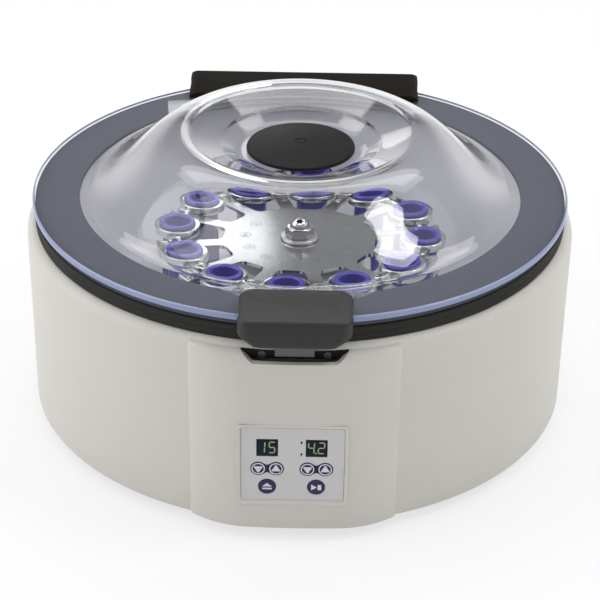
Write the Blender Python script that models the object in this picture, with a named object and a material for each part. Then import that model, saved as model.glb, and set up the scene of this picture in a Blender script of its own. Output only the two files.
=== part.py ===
"""Bench centrifuge with a clear domed lid and a twelve-place swing-out rotor.

Metres, +Z up. The origin is on the rotor's axis, on the surface that the feet stand on.
The front, with the handle and the control panel, faces -Y. The lid's hinge is at the back.
"""

import math

import bmesh
import bpy
from mathutils import Matrix, Vector

# Fits shared by the whole machine
SEAT_GAP = 0.0003
CUT_OVERRUN = 0.004
WELD_DISTANCE = 0.000001
SHARP_ANGLE = math.radians(35.0)

# Facets of the round pieces
CASING_FACETS = 46
BOSS_FLAT_FACETS = 2
BOSS_CORNER_FACETS = 5
LID_FACETS = 48
BOWL_FACETS = 40
SMALL_ROUND_FACETS = 24
SLEEVE_FACETS = 16
BARREL_FACETS = 12
PIN_FACETS = 8
BARREL_TOP_STEPS = 4
CORNER_STEPS = 2

# Casing: a drum with a rounded shoulder, open at the top and bottom
CASING_RADIUS = 0.185
CASING_TAPER = 0.001
CASING_HEIGHT = 0.1307
CASING_WALL = 0.003
CASING_SHOULDER = 0.0075
CASING_FOOT_ROUND = 0.0025
CASING_RIM_WIDTH = 0.015
SHOULDER_STEPS = 3

# Feet, placed by their distance from the casing's side
FOOT_HEIGHT = 0.008
FOOT_RADIUS = 0.012
FOOT_TIP_RADIUS = 0.009
FOOT_INSET = 0.035
FOOT_COUNT = 4

# Boss that carries the control panel on the drum's front
BOSS_PROUD = 0.0045
BOSS_FLAT_HALF_WIDTH = 0.034
BOSS_HALF_WIDTH = 0.0655
BOSS_TOP_ROUND = 0.016
BOSS_TOP_STEPS = 3

# Base plate with cooling slots
BASE_PLATE_THICKNESS = 0.003
VENT_SLOT_LENGTH = 0.045
VENT_SLOT_WIDTH = 0.006
VENT_SLOT_START_RADIUS = 0.075
VENT_SLOT_COUNT = 10

# Chamber: a wall that hangs by its flange, and a floor with a hollow tower over the motor
BOWL_RIM_GAP = 0.001
BOWL_WALL = 0.002
BOWL_FLANGE_OVERLAP = 0.0052
BOWL_FLANGE_THICKNESS = 0.0015
FLOOR_MOTOR_GAP = 0.0140
TOWER_CLEARANCE = 0.010
TOWER_HEAD_GAP = 0.0093
TOWER_TAPER = 0.004
TOWER_HOLE_CLEARANCE = 0.004

# Rubber rim that the lid closes on
SEAL_WIDTH = 0.0103
SEAL_HEIGHT = 0.0085
SEAL_LIP_THICKNESS = 0.0037
SEAL_LIP_CLEARANCE = 0.0004
SEAL_LIP_BEVEL = 0.0009
SEAL_ROUND_SHARES = ((1.0, 0.55), (0.86, 0.93), (0.5, 1.0), (0.14, 0.8))

# Lid: flange, bell-shaped dome, sunk well with the cap
LID_SETBACK = 0.0045
LID_WALL = 0.0042
LID_FLANGE_WIDTH = 0.0370
LID_WELL_FLOOR_RADIUS = 0.0430
LID_WELL_SLOPE_WIDTH = 0.0090
LID_CROWN_WIDTH = 0.0240
LID_CROWN_HEIGHT = 0.0420
LID_WELL_RIM_DROP = 0.0090
LID_WELL_FALL = 0.0060
LID_HOLE_RADIUS = 0.0055
LID_BELL_STEPS = 11
LID_CROWN_STEPS = 3
LID_WELL_STEPS = 2

# Gasket ring under the lid's flange
GASKET_SETBACK = 0.0020
GASKET_WIDTH = 0.0295
GASKET_THICKNESS = 0.0029

# Cap in the lid's well
CAP_MARGIN = 0.0065
CAP_RIM_HEIGHT = 0.0028
CAP_CROWN = 0.0030
CAP_CROWN_SHARES = ((0.667, 0.556), (0.333, 0.889))
CAP_EDGE_ROUND = 0.0012
CAP_STEM_LENGTH = 0.0090
CAP_STEM_CLEARANCE = 0.0003

# Handle on the lid's front edge
HANDLE_HALF_WIDTH = 0.0350
HANDLE_PROUD = 0.0150
HANDLE_DEPTH = 0.0385
HANDLE_TOP_RISE = 0.0080
HANDLE_TOP_SLOPE = 0.0030
HANDLE_BOTTOM_DROP = 0.0130
HANDLE_FOOT_TAPER = 0.0085
HANDLE_TAPER_HEIGHT = 0.0060
HANDLE_SIDE_ROUND = 0.010
HANDLE_EDGE_ROUND = 0.0035
HANDLE_ROUND_SEGMENTS = 3

# Black insert in the casing's front edge, and the strap under the handle that meets it
LATCH_BOTTOM_HALF_WIDTH = 0.0255
LATCH_FLARE = 0.0075
LATCH_HEIGHT = 0.0072
LATCH_SETBACK = 0.0028
LATCH_DEPTH = 0.0054
LATCH_SCREW_OFFSET = 0.0198
LATCH_SCREW_RADIUS = 0.0024
LATCH_SCREW_DEPTH = 0.0012
STRAP_HALF_WIDTH = 0.0120
STRAP_THICKNESS = 0.0015
STRAP_LENGTH = 0.0095
STRAP_LATCH_GAP = 0.0033
STRAP_FOOT_LENGTH = 0.0010

# Hinge at the back
HINGE_AXIS_PROUD = 0.0053
HINGE_AXIS_DROP = 0.0070
HINGE_BARREL_RADIUS = 0.0052
HINGE_PIN_RADIUS = 0.0020
HINGE_PIN_CLEARANCE = 0.0002
HINGE_HALF_WIDTH = 0.0860
HINGE_MIDDLE_HALF_WIDTH = 0.0450
HINGE_SIDE_GAP = 0.0008
HINGE_COVER_OVERHANG = 0.0030
HINGE_COVER_DEPTH = 0.0435
HINGE_COVER_DOME_GAP = 0.0035
HINGE_COVER_THICKNESS = 0.0037
HINGE_BRACKET_HEIGHT = 0.0350
HINGE_BRACKET_DROP = 0.0080
HINGE_BRACKET_PROUD = 0.0055

# Drive
MOTOR_RADIUS = 0.040
MOTOR_BORE_DEPTH = 0.030
MOTOR_ROUND = 0.003
MOTOR_FLANGE_RADIUS = 0.070
MOTOR_FLANGE_THICKNESS = 0.0034
MOUNT_RING_SETBACK = 0.008
MOUNT_RING_WIDTH = 0.017
MOUNT_RING_HEIGHT = 0.005
SHAFT_RADIUS = 0.006
SHAFT_CLEARANCE = 0.0004
SHAFT_STEP = 0.002
SHAFT_THREAD_LENGTH = 0.0115
HUB_RADIUS = 0.020
HUB_HEIGHT = 0.006

# Rotor plate: a disc with straight arms, each with a saddle and a bent end
ROTOR_RISE = 0.0170
ROTOR_PLATE_THICKNESS = 0.0030
ROTOR_ROOT_GAP = 0.0170
ROTOR_ARM_WIDTH = 0.0095
ROTOR_ARM_OVERHANG = 0.0120
ROTOR_TAB_WIDTH = 0.0110
ROTOR_TAB_DROP = 0.0110
ROTOR_TAB_THICKNESS = 0.0025
ROTOR_WINDOW_CORNER = 0.0055
ROTOR_ROOT_DIP = 0.0018
ROTOR_SADDLE_WIDTH = 0.0088
ROTOR_SADDLE_HEIGHT = 0.0052
ROTOR_SADDLE_LENGTH = 0.0090
ROTOR_PLACES = 12
ROTOR_FIRST_ANGLE = math.radians(-95.0)

# Washer and domed nut on the shaft's thread
WASHER_RADIUS = 0.0130
WASHER_THICKNESS = 0.0020
NUT_SIDES = 6
NUT_WIDTH = 0.0175
NUT_HEX_HEIGHT = 0.0075
NUT_DOME_RADIUS = 0.0068
NUT_DOME_BITE = 0.0020
NUT_DOME_STEPS = 3
THREAD_END_GAP = 0.0006

# Buckets: a metal carrier ring on two pins, with a plastic sleeve in it
BUCKET_PIVOT_RISE = 0.0022
SLEEVE_RADIUS = 0.0108
SLEEVE_TAPER = 0.0013
SLEEVE_FLANGE_WIDTH = 0.0018
SLEEVE_FLANGE_THICKNESS = 0.0025
SLEEVE_WALL = 0.0020
SLEEVE_FLOOR = 0.0025
SLEEVE_HANG = 0.0725
SLEEVE_FLOOR_GAP = 0.0097
SLEEVE_TIP_HEIGHT = 0.0080
CARRIER_WALL = 0.0049
CARRIER_SIDE_GAP = 0.00125
CARRIER_HEIGHT = 0.0065
CARRIER_PIN_RADIUS = 0.0016
CARRIER_PIN_LENGTH = 0.0053
CARRIER_PIN_CLEARANCE = 0.0004

# Control panel on the boss
PANEL_CENTRE_X = -0.0005
PANEL_HALF_WIDTH = 0.0320
PANEL_HEIGHT = 0.0532
PANEL_BOTTOM_RISE = 0.0226
PANEL_RECESS = 0.0008
PANEL_THICKNESS = 0.0030
PANEL_CORNER = 0.0012
GROUP_SHIFT = -0.0005
GROUP_OFFSET = 0.0153
DISPLAY_WIDTH = 0.0131
DISPLAY_HEIGHT = 0.0124
DISPLAY_RISE = 0.0388
DISPLAY_SETBACK = 0.0002
ARROW_KEY_RADIUS = 0.0043
ARROW_KEY_SPREAD = 0.0055
ARROW_KEY_RISE = 0.0234
ROUND_KEY_RADIUS = 0.0055
ROUND_KEY_RISE = 0.0100
KEY_CLEARANCE = 0.0003
KEY_PROUD = 0.0004
KEY_BACK_GAP = 0.0008
BOARD_THICKNESS = 0.0016
BOARD_MARGIN = 0.0012

# Power inlet and switch at the back
INLET_RISE = 0.0370
INLET_FLANGE_HALF_WIDTH = 0.0330
INLET_FLANGE_HALF_HEIGHT = 0.0150
INLET_FLANGE_THICKNESS = 0.0022
INLET_BODY_SETBACK_X = 0.0040
INLET_BODY_SETBACK_Z = 0.0025
INLET_BODY_DEPTH = 0.0120
SOCKET_OFFSET = 0.0125
SOCKET_HALF_WIDTH = 0.0110
SOCKET_HALF_HEIGHT = 0.0080
SOCKET_DEPTH = 0.0120
SOCKET_PIN_LENGTH = 0.0060
SOCKET_PIN_HALF_WIDTH = 0.0010
SOCKET_PIN_HALF_HEIGHT = 0.0020
SOCKET_PIN_SPREAD = 0.0070
SOCKET_EARTH_RISE = 0.0030
SWITCH_OFFSET = 0.0190
SWITCH_POCKET_HALF_WIDTH = 0.0068
SWITCH_POCKET_HALF_HEIGHT = 0.0105
SWITCH_POCKET_DEPTH = 0.0080
ROCKER_SIDE_GAP = 0.0004
ROCKER_END_GAP = 0.0012
ROCKER_PIVOT_DEPTH = 0.0030
ROCKER_RISE = 0.0022
ROCKER_VALLEY = 0.0008
ROCKER_BACK = 0.0038
ROCKER_TILT = math.radians(8.0)

# Radii and distances from the axis that follow from the sizes above
CASING_BASE_RADIUS = CASING_RADIUS - CASING_TAPER
CASING_MOUTH_RADIUS = CASING_RADIUS - CASING_RIM_WIDTH
FOOT_CIRCLE_RADIUS = CASING_RADIUS - FOOT_INSET
BOSS_FACE_DISTANCE = CASING_RADIUS + BOSS_PROUD
BOWL_OUTER_RADIUS = CASING_MOUTH_RADIUS - BOWL_RIM_GAP
BOWL_INNER_RADIUS = BOWL_OUTER_RADIUS - BOWL_WALL
BOWL_FLANGE_RADIUS = CASING_MOUTH_RADIUS + BOWL_FLANGE_OVERLAP
TOWER_RADIUS = MOTOR_RADIUS + TOWER_CLEARANCE
TOWER_HOLE_RADIUS = SHAFT_RADIUS + TOWER_HOLE_CLEARANCE
SEAL_RADIUS = BOWL_FLANGE_RADIUS + SEAL_LIP_CLEARANCE + SEAL_LIP_THICKNESS
SEAL_INNER_RADIUS = SEAL_RADIUS - SEAL_WIDTH
LID_RADIUS = CASING_RADIUS - LID_SETBACK
LID_DOME_FOOT_RADIUS = LID_RADIUS - LID_FLANGE_WIDTH
LID_WELL_RIM_RADIUS = LID_WELL_FLOOR_RADIUS + LID_WELL_SLOPE_WIDTH
LID_CROWN_RADIUS = LID_WELL_RIM_RADIUS + LID_CROWN_WIDTH
GASKET_OUTER_RADIUS = LID_RADIUS - GASKET_SETBACK
GASKET_INNER_RADIUS = GASKET_OUTER_RADIUS - GASKET_WIDTH
CAP_RADIUS = LID_WELL_FLOOR_RADIUS - CAP_MARGIN
HANDLE_FRONT = LID_RADIUS + HANDLE_PROUD
HANDLE_BACK = HANDLE_FRONT - HANDLE_DEPTH
HANDLE_FOOT_HALF_WIDTH = HANDLE_HALF_WIDTH - HANDLE_FOOT_TAPER
LATCH_TOP_HALF_WIDTH = LATCH_BOTTOM_HALF_WIDTH + LATCH_FLARE
LATCH_FACE_DISTANCE = CASING_RADIUS - LATCH_SETBACK
LATCH_BACK_DISTANCE = LATCH_FACE_DISTANCE - LATCH_DEPTH
STRAP_DISTANCE = LATCH_FACE_DISTANCE + STRAP_LATCH_GAP
HINGE_AXIS_DISTANCE = CASING_RADIUS + HINGE_AXIS_PROUD
HINGE_COVER_BACK = LID_RADIUS + HINGE_COVER_OVERHANG
HINGE_COVER_FRONT = HINGE_COVER_BACK - HINGE_COVER_DEPTH
HINGE_BRACKET_DISTANCE = CASING_RADIUS + HINGE_BRACKET_PROUD
MOUNT_RING_OUTER_RADIUS = MOTOR_FLANGE_RADIUS - MOUNT_RING_SETBACK
MOUNT_RING_INNER_RADIUS = MOUNT_RING_OUTER_RADIUS - MOUNT_RING_WIDTH
SHAFT_THREAD_RADIUS = SHAFT_RADIUS - SHAFT_STEP
SLEEVE_TIP_RADIUS = SLEEVE_RADIUS - SLEEVE_TAPER
SLEEVE_FLANGE_RADIUS = SLEEVE_RADIUS + SLEEVE_FLANGE_WIDTH
SLEEVE_BORE_RADIUS = SLEEVE_RADIUS - SLEEVE_WALL
CARRIER_BORE_RADIUS = SLEEVE_RADIUS + SEAT_GAP
CARRIER_RADIUS = CARRIER_BORE_RADIUS + CARRIER_WALL
CARRIER_PIN_REACH = CARRIER_RADIUS + CARRIER_PIN_LENGTH
PLACE_STEP = 2 * math.pi / ROTOR_PLACES
ARM_DISTANCE = CARRIER_RADIUS + CARRIER_SIDE_GAP + ROTOR_ARM_WIDTH / 2
BUCKET_CIRCLE_RADIUS = ARM_DISTANCE / math.sin(PLACE_STEP / 2)
ROTOR_ARM_REACH = BUCKET_CIRCLE_RADIUS + ROTOR_ARM_OVERHANG
ROTOR_DISC_RADIUS = BUCKET_CIRCLE_RADIUS - CARRIER_RADIUS - ROTOR_ROOT_GAP
PANEL_FACE_DISTANCE = BOSS_FACE_DISTANCE - PANEL_RECESS
PANEL_BACK_DISTANCE = PANEL_FACE_DISTANCE - PANEL_THICKNESS
BOARD_FACE_DISTANCE = PANEL_BACK_DISTANCE - SEAT_GAP
INLET_SEAT_DISTANCE = CASING_RADIUS + SEAT_GAP
INLET_FACE_DISTANCE = INLET_SEAT_DISTANCE + INLET_FLANGE_THICKNESS
INLET_BODY_HALF_WIDTH = INLET_FLANGE_HALF_WIDTH - INLET_BODY_SETBACK_X
INLET_BODY_HALF_HEIGHT = INLET_FLANGE_HALF_HEIGHT - INLET_BODY_SETBACK_Z

# Heights that follow from the sizes above
BASE_Z = FOOT_HEIGHT
CASING_TOP_Z = BASE_Z + CASING_HEIGHT
SHOULDER_Z = CASING_TOP_Z - CASING_SHOULDER
BASE_PLATE_TOP_Z = BASE_Z + BASE_PLATE_THICKNESS
MOUNT_RING_Z = BASE_PLATE_TOP_Z + SEAT_GAP
MOTOR_Z = MOUNT_RING_Z + MOUNT_RING_HEIGHT + SEAT_GAP
MOTOR_FLANGE_TOP_Z = MOTOR_Z + MOTOR_FLANGE_THICKNESS
BOWL_FLANGE_TOP_Z = CASING_TOP_Z + SEAT_GAP + BOWL_FLANGE_THICKNESS
BOWL_FLOOR_Z = MOTOR_FLANGE_TOP_Z + FLOOR_MOTOR_GAP + BOWL_WALL
PIVOT_Z = BOWL_FLOOR_Z + SLEEVE_FLOOR_GAP + SLEEVE_HANG
ROTOR_PLATE_TOP_Z = PIVOT_Z - BUCKET_PIVOT_RISE
TOWER_TOP_Z = ROTOR_PLATE_TOP_Z - ROTOR_RISE
MOTOR_TOP_Z = TOWER_TOP_Z - TOWER_HEAD_GAP
SEAL_BASE_Z = BOWL_FLANGE_TOP_Z + SEAT_GAP
SEAL_TOP_Z = SEAL_BASE_Z + SEAL_HEIGHT
GASKET_Z = SEAL_TOP_Z + SEAT_GAP
FLANGE_UNDERSIDE_Z = GASKET_Z + GASKET_THICKNESS + SEAT_GAP
LID_TOP_Z = FLANGE_UNDERSIDE_Z + LID_WALL
LID_WELL_FLOOR_DROP = LID_WELL_RIM_DROP + LID_WELL_FALL
WELL_FLOOR_Z = LID_TOP_Z + LID_CROWN_HEIGHT - LID_WELL_FLOOR_DROP
HANDLE_BOTTOM_Z = LID_TOP_Z - HANDLE_BOTTOM_DROP
LATCH_BOTTOM_Z = CASING_TOP_Z - LATCH_HEIGHT
HINGE_AXIS_Z = LID_TOP_Z - HINGE_AXIS_DROP
ROTOR_PLATE_Z = ROTOR_PLATE_TOP_Z - ROTOR_PLATE_THICKNESS
WASHER_Z = ROTOR_PLATE_TOP_Z + SEAT_GAP
NUT_Z = WASHER_Z + WASHER_THICKNESS + SEAT_GAP
THREAD_TOP_Z = ROTOR_PLATE_TOP_Z + SHAFT_THREAD_LENGTH
PANEL_BOTTOM_Z = BASE_Z + PANEL_BOTTOM_RISE
INLET_Z = BASE_Z + INLET_RISE


# Materials


def make_material(name, colour, roughness, metallic=0.0, alpha=1.0):
    material = bpy.data.materials.new(name)
    material.use_nodes = True
    shader = material.node_tree.nodes["Principled BSDF"]
    shader.inputs["Base Color"].default_value = (*colour, 1.0)
    shader.inputs["Roughness"].default_value = roughness
    shader.inputs["Metallic"].default_value = metallic
    shader.inputs["Alpha"].default_value = alpha
    material.diffuse_color = (*colour, alpha)
    return material


def make_materials():
    return {
        "white_plastic": make_material("white_plastic", (0.68, 0.67, 0.61), 0.42),
        "black_plastic": make_material("black_plastic", (0.02, 0.02, 0.022), 0.45),
        "clear_plastic": make_material("clear_plastic", (0.85, 0.88, 0.92), 0.05, alpha=0.3),
        "rubber": make_material("rubber", (0.035, 0.035, 0.035), 0.7),
        "grey_plastic": make_material("grey_plastic", (0.55, 0.55, 0.55), 0.5),
        "satin_steel": make_material("satin_steel", (0.66, 0.65, 0.63), 0.3, 1.0),
        "chrome": make_material("chrome", (0.75, 0.75, 0.76), 0.12, 1.0),
        "blue_plastic": make_material("blue_plastic", (0.09, 0.08, 0.50), 0.35),
        "panel_film": make_material("panel_film", (0.50, 0.50, 0.53), 0.4),
        "display_glass": make_material("display_glass", (0.01, 0.015, 0.03), 0.1),
        "key_blue": make_material("key_blue", (0.04, 0.035, 0.16), 0.4),
        "dark_metal": make_material("dark_metal", (0.12, 0.12, 0.13), 0.5, 0.8),
        "board": make_material("board", (0.03, 0.16, 0.07), 0.5),
    }


# Mesh helpers


def clear_scene():
    for thing in list(bpy.data.objects):
        bpy.data.objects.remove(thing, do_unlink=True)


def add_object(name, mesh_builder, material=None, smooth=True):
    """Turn a bmesh into an object with outward faces."""
    bmesh.ops.remove_doubles(mesh_builder, verts=mesh_builder.verts, dist=WELD_DISTANCE)
    bmesh.ops.recalc_face_normals(mesh_builder, faces=mesh_builder.faces)
    mesh = bpy.data.meshes.new(name)
    mesh_builder.to_mesh(mesh)
    mesh_builder.free()
    if material:
        mesh.materials.append(material)
    if smooth:
        mesh.shade_smooth()
        mesh.set_sharp_from_angle(angle=SHARP_ANGLE)
    thing = bpy.data.objects.new(name, mesh)
    bpy.context.scene.collection.objects.link(thing)
    return thing


def revolved(profile, facets):
    """Turn a closed outline of (radius, height) points around Z."""
    builder = bmesh.new()
    corners = [builder.verts.new((radius, 0.0, height)) for radius, height in profile]
    edges = [builder.edges.new(pair) for pair in zip(corners, corners[1:] + corners[:1])]
    bmesh.ops.spin(
        builder,
        geom=corners + edges,
        cent=(0.0, 0.0, 0.0),
        axis=(0.0, 0.0, 1.0),
        angle=2 * math.pi,
        steps=facets,
        use_merge=True,
    )
    bmesh.ops.remove_doubles(builder, verts=builder.verts, dist=WELD_DISTANCE)
    collapsed = [face for face in builder.faces if face.calc_area() < WELD_DISTANCE**2]
    bmesh.ops.delete(builder, geom=collapsed, context="FACES")
    return builder


def prism(outline, depth, frame):
    """Push a flat outline of (u, v) points through depth along the frame's third axis."""
    builder = bmesh.new()
    corners = [builder.verts.new((u, v, 0.0)) for u, v in outline]
    face = builder.faces.new(corners)
    pushed = bmesh.ops.extrude_face_region(builder, geom=[face])
    moved = [item for item in pushed["geom"] if isinstance(item, bmesh.types.BMVert)]
    bmesh.ops.translate(builder, verts=moved, vec=(0.0, 0.0, depth))
    bmesh.ops.transform(builder, matrix=frame, verts=builder.verts)
    return builder


def facing_front(distance):
    """A frame whose u, v and depth run along +X, +Z and -Y, starting at y = -distance."""
    axes = Matrix(((1, 0, 0), (0, 0, -1), (0, 1, 0))).to_4x4()
    return Matrix.Translation((0.0, -distance, 0.0)) @ axes


def along_x(start):
    """A frame whose u, v and depth run along +Y, +Z and +X, starting at x = start."""
    axes = Matrix(((0, 0, 1), (1, 0, 0), (0, 1, 0))).to_4x4()
    return Matrix.Translation((start, 0.0, 0.0)) @ axes


def upward(height):
    return Matrix.Translation((0.0, 0.0, height))


def block(low, high):
    """A box between two corners."""
    builder = bmesh.new()
    bmesh.ops.create_cube(builder, size=1.0)
    size = Vector(high) - Vector(low)
    centre = (Vector(high) + Vector(low)) / 2
    bmesh.ops.scale(builder, verts=builder.verts, vec=size)
    bmesh.ops.translate(builder, verts=builder.verts, vec=centre)
    return builder


def rod(radius, length, facets, frame):
    """A cylinder from the frame's origin along its third axis."""
    outline = circle_points(radius, facets)
    return prism(outline, length, frame)


def circle_points(radius, facets, centre=(0.0, 0.0)):
    turn = 2 * math.pi / facets
    return [
        (centre[0] + radius * math.cos(turn * step), centre[1] + radius * math.sin(turn * step))
        for step in range(facets)
    ]


def rounded_rectangle(low, high, radius, steps):
    """Outline of a rectangle with its four corners rounded."""
    corners = (
        (high[0] - radius, high[1] - radius, 0.0),
        (low[0] + radius, high[1] - radius, 0.5),
        (low[0] + radius, low[1] + radius, 1.0),
        (high[0] - radius, low[1] + radius, 1.5),
    )
    return [
        point
        for u, v, half_turns in corners
        for point in arc((u, v), radius, half_turns * math.pi, (half_turns + 0.5) * math.pi, steps)
    ]


def arc(centre, radius, start, end, steps):
    turn = (end - start) / steps
    return [
        (
            centre[0] + radius * math.cos(start + turn * step),
            centre[1] + radius * math.sin(start + turn * step),
        )
        for step in range(steps + 1)
    ]


def bevel_edges(builder, width, segments, wanted):
    """Round the edges that the test picks."""
    picked = [edge for edge in builder.edges if wanted(edge)]
    bmesh.ops.bevel(
        builder, geom=picked, offset=width, segments=segments, profile=0.5, affect="EDGES"
    )


def shell_outline(path, wall):
    """Close an open (radius, height) path with a copy moved by the wall to its right."""
    moved = []
    for index, point in enumerate(path):
        here = Vector(point)
        before = Vector(path[index - 1]) if index else here
        after = Vector(path[index + 1]) if index + 1 < len(path) else here
        normals = [
            Vector((step.y, -step.x)).normalized()
            for step in (here - before, after - here)
            if step.length > 0
        ]
        middle = sum(normals, Vector((0.0, 0.0))).normalized()
        moved.append(tuple(here + middle * wall / middle.dot(normals[0])))
    return list(path) + moved[::-1]


def cutter(name, builder):
    """A hidden shape for a Boolean."""
    tool = add_object(name, builder, smooth=False)
    tool.hide_render = True
    tool.display_type = "WIRE"
    return tool


def add_boolean(target, tool, operation="DIFFERENCE"):
    modifier = target.modifiers.new(tool.name, "BOOLEAN")
    modifier.operation = operation
    modifier.object = tool
    modifier.solver = "EXACT"


def merge_builders(first, second):
    """Put a second separate shape into the first builder."""
    spare = bpy.data.meshes.new("spare")
    second.to_mesh(spare)
    second.free()
    first.from_mesh(spare)
    bpy.data.meshes.remove(spare)
    return first


def add_empty(name, location, turn=0.0):
    empty = bpy.data.objects.new(name, None)
    bpy.context.scene.collection.objects.link(empty)
    empty.location = location
    empty.rotation_euler = (0.0, 0.0, turn)
    return empty


def hang_on(parent, *things):
    """Parent pieces that were modelled in world places to an unturned empty."""
    for thing in things:
        thing.parent = parent
        thing.location = Vector(thing.location) - Vector(parent.location)


def centred_on(builder, origin):
    """Move a shape so that the given world point becomes its origin."""
    bmesh.ops.translate(builder, verts=builder.verts, vec=-Vector(origin))
    return builder


# Casing


def drum_radius(height):
    """Outer radius of the drum without the boss."""
    share = (height - BASE_Z) / (SHOULDER_Z - BASE_Z)
    return CASING_BASE_RADIUS + (CASING_RADIUS - CASING_BASE_RADIUS) * min(share, 1.0)


def boss_reach(angle_from_front, height):
    """How far the full boss stands out of the drum at an angle and height."""
    flat_end = math.atan2(BOSS_FLAT_HALF_WIDTH, BOSS_FACE_DISTANCE)
    boss_end = math.asin(BOSS_HALF_WIDTH / CASING_RADIUS)
    angle = abs(angle_from_front)
    if angle >= boss_end:
        return 0.0
    if angle <= flat_end:
        return BOSS_FACE_DISTANCE / math.cos(angle) - drum_radius(height)
    edge = BOSS_FACE_DISTANCE / math.cos(flat_end) - drum_radius(height)
    share = (angle - flat_end) / (boss_end - flat_end)
    return edge * math.cos(share * math.pi / 2)


def boss_fade(height):
    """One on the boss's face, falling to nothing at the shoulder."""
    start = SHOULDER_Z - BOSS_TOP_ROUND
    if height <= start:
        return 1.0
    share = min((height - start) / BOSS_TOP_ROUND, 1.0)
    return math.cos(share * math.pi / 2)


def casing_angles():
    """Column angles, closer together across the boss."""
    flat_end = math.atan2(BOSS_FLAT_HALF_WIDTH, BOSS_FACE_DISTANCE)
    boss_end = math.asin(BOSS_HALF_WIDTH / CASING_RADIUS)
    half = [flat_end * step / BOSS_FLAT_FACETS for step in range(BOSS_FLAT_FACETS)]
    corner = (boss_end - flat_end) / BOSS_CORNER_FACETS
    half += [flat_end + corner * step for step in range(BOSS_CORNER_FACETS + 1)]
    boss = [-angle for angle in reversed(half[1:])] + half
    rest = 2 * math.pi - 2 * boss_end
    boss += [boss_end + rest * step / CASING_FACETS for step in range(1, CASING_FACETS)]
    return [angle - math.pi / 2 for angle in boss]


def casing_ring(height, inset=0.0):
    """Points of the casing's outline at a height, moved inwards by the inset."""
    points = []
    for angle in casing_angles():
        reach = boss_reach(angle + math.pi / 2, height) * boss_fade(height)
        radius = drum_radius(height) + reach - inset
        points.append((radius * math.cos(angle), radius * math.sin(angle), height))
    return points


def circle_ring(radius, height):
    return [
        (radius * math.cos(angle), radius * math.sin(angle), height) for angle in casing_angles()
    ]


def shoulder_rings(radius, centre_radius):
    """Rings around the shoulder's rounding, from its side to its top."""
    turn = math.pi / 2 / SHOULDER_STEPS
    return [
        circle_ring(
            centre_radius + radius * math.cos(turn * step), SHOULDER_Z + radius * math.sin(turn * step)
        )
        for step in range(1, SHOULDER_STEPS + 1)
    ]


def bridged_rings(rings):
    """Join rings of equal count into one closed surface, the last ring back to the first."""
    builder = bmesh.new()
    rows = [[builder.verts.new(point) for point in ring] for ring in rings]
    for row, above in zip(rows, rows[1:] + rows[:1]):
        count = len(row)
        for index in range(count):
            after = (index + 1) % count
            builder.faces.new((row[index], row[after], above[after], above[index]))
    return builder


def capped_rings(rings):
    """Join rings of equal count into a solid with a flat face at each end."""
    builder = bmesh.new()
    rows = [[builder.verts.new(point) for point in ring] for ring in rings]
    for row, above in zip(rows, rows[1:]):
        count = len(row)
        for index in range(count):
            after = (index + 1) % count
            builder.faces.new((row[index], row[after], above[after], above[index]))
    builder.faces.new(rows[0])
    builder.faces.new(rows[-1])
    return builder


def build_casing(material):
    boss_top = SHOULDER_Z - BOSS_TOP_ROUND
    heights = [BASE_Z + CASING_FOOT_ROUND, boss_top]
    heights += [
        boss_top + BOSS_TOP_ROUND * step / BOSS_TOP_STEPS for step in range(1, BOSS_TOP_STEPS + 1)
    ]
    outer = [casing_ring(BASE_Z, CASING_FOOT_ROUND / 2)]
    outer += [casing_ring(height) for height in heights]
    shoulder_centre = CASING_RADIUS - CASING_SHOULDER
    outer += shoulder_rings(CASING_SHOULDER, shoulder_centre)
    mouth = [
        circle_ring(CASING_MOUTH_RADIUS, CASING_TOP_Z),
        circle_ring(CASING_MOUTH_RADIUS, CASING_TOP_Z - CASING_WALL),
    ]
    inner = shoulder_rings(CASING_SHOULDER - CASING_WALL, shoulder_centre)[::-1]
    inner += [casing_ring(height, CASING_WALL) for height in reversed(heights[1:])]
    inner += [casing_ring(BASE_Z, CASING_WALL)]
    casing = add_object("outer_casing", bridged_rings(outer + mouth + inner), material)
    add_boolean(casing, cutter("panel_window", panel_window_shape()))
    add_boolean(casing, cutter("latch_notch", latch_shape(SEAT_GAP, CASING_SHOULDER)))
    add_boolean(casing, cutter("inlet_window", inlet_window_shape()))
    return casing


def panel_window_shape():
    reach = PANEL_HALF_WIDTH + SEAT_GAP
    outline = rounded_rectangle(
        (PANEL_CENTRE_X - reach, PANEL_BOTTOM_Z - SEAT_GAP),
        (PANEL_CENTRE_X + reach, PANEL_BOTTOM_Z + PANEL_HEIGHT + SEAT_GAP),
        PANEL_CORNER,
        CORNER_STEPS,
    )
    start = PANEL_BACK_DISTANCE - CUT_OVERRUN
    return prism(outline, BOSS_FACE_DISTANCE + CUT_OVERRUN - start, facing_front(start))


def latch_shape(margin, extra_front):
    """The latch insert's tapered outline as a block, widened by a margin and run forwards."""
    top = CASING_TOP_Z + (CUT_OVERRUN if margin else 0.0)
    bottom = LATCH_BOTTOM_Z - margin
    slope = (LATCH_TOP_HALF_WIDTH - LATCH_BOTTOM_HALF_WIDTH) / LATCH_HEIGHT
    top_half = LATCH_TOP_HALF_WIDTH + margin + slope * (top - CASING_TOP_Z)
    bottom_half = LATCH_BOTTOM_HALF_WIDTH + margin
    outline = [
        (-bottom_half, bottom),
        (bottom_half, bottom),
        (top_half, top),
        (-top_half, top),
    ]
    start = LATCH_BACK_DISTANCE - margin
    depth = LATCH_FACE_DISTANCE + extra_front - start
    return prism(outline, depth, facing_front(start))


def inlet_window_shape():
    across = INLET_BODY_HALF_WIDTH + SEAT_GAP
    up = INLET_BODY_HALF_HEIGHT + SEAT_GAP
    inside = CASING_RADIUS - CASING_WALL - INLET_BODY_DEPTH
    return block(
        (-across, inside, INLET_Z - up), (across, CASING_RADIUS + CUT_OVERRUN, INLET_Z + up)
    )


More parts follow.
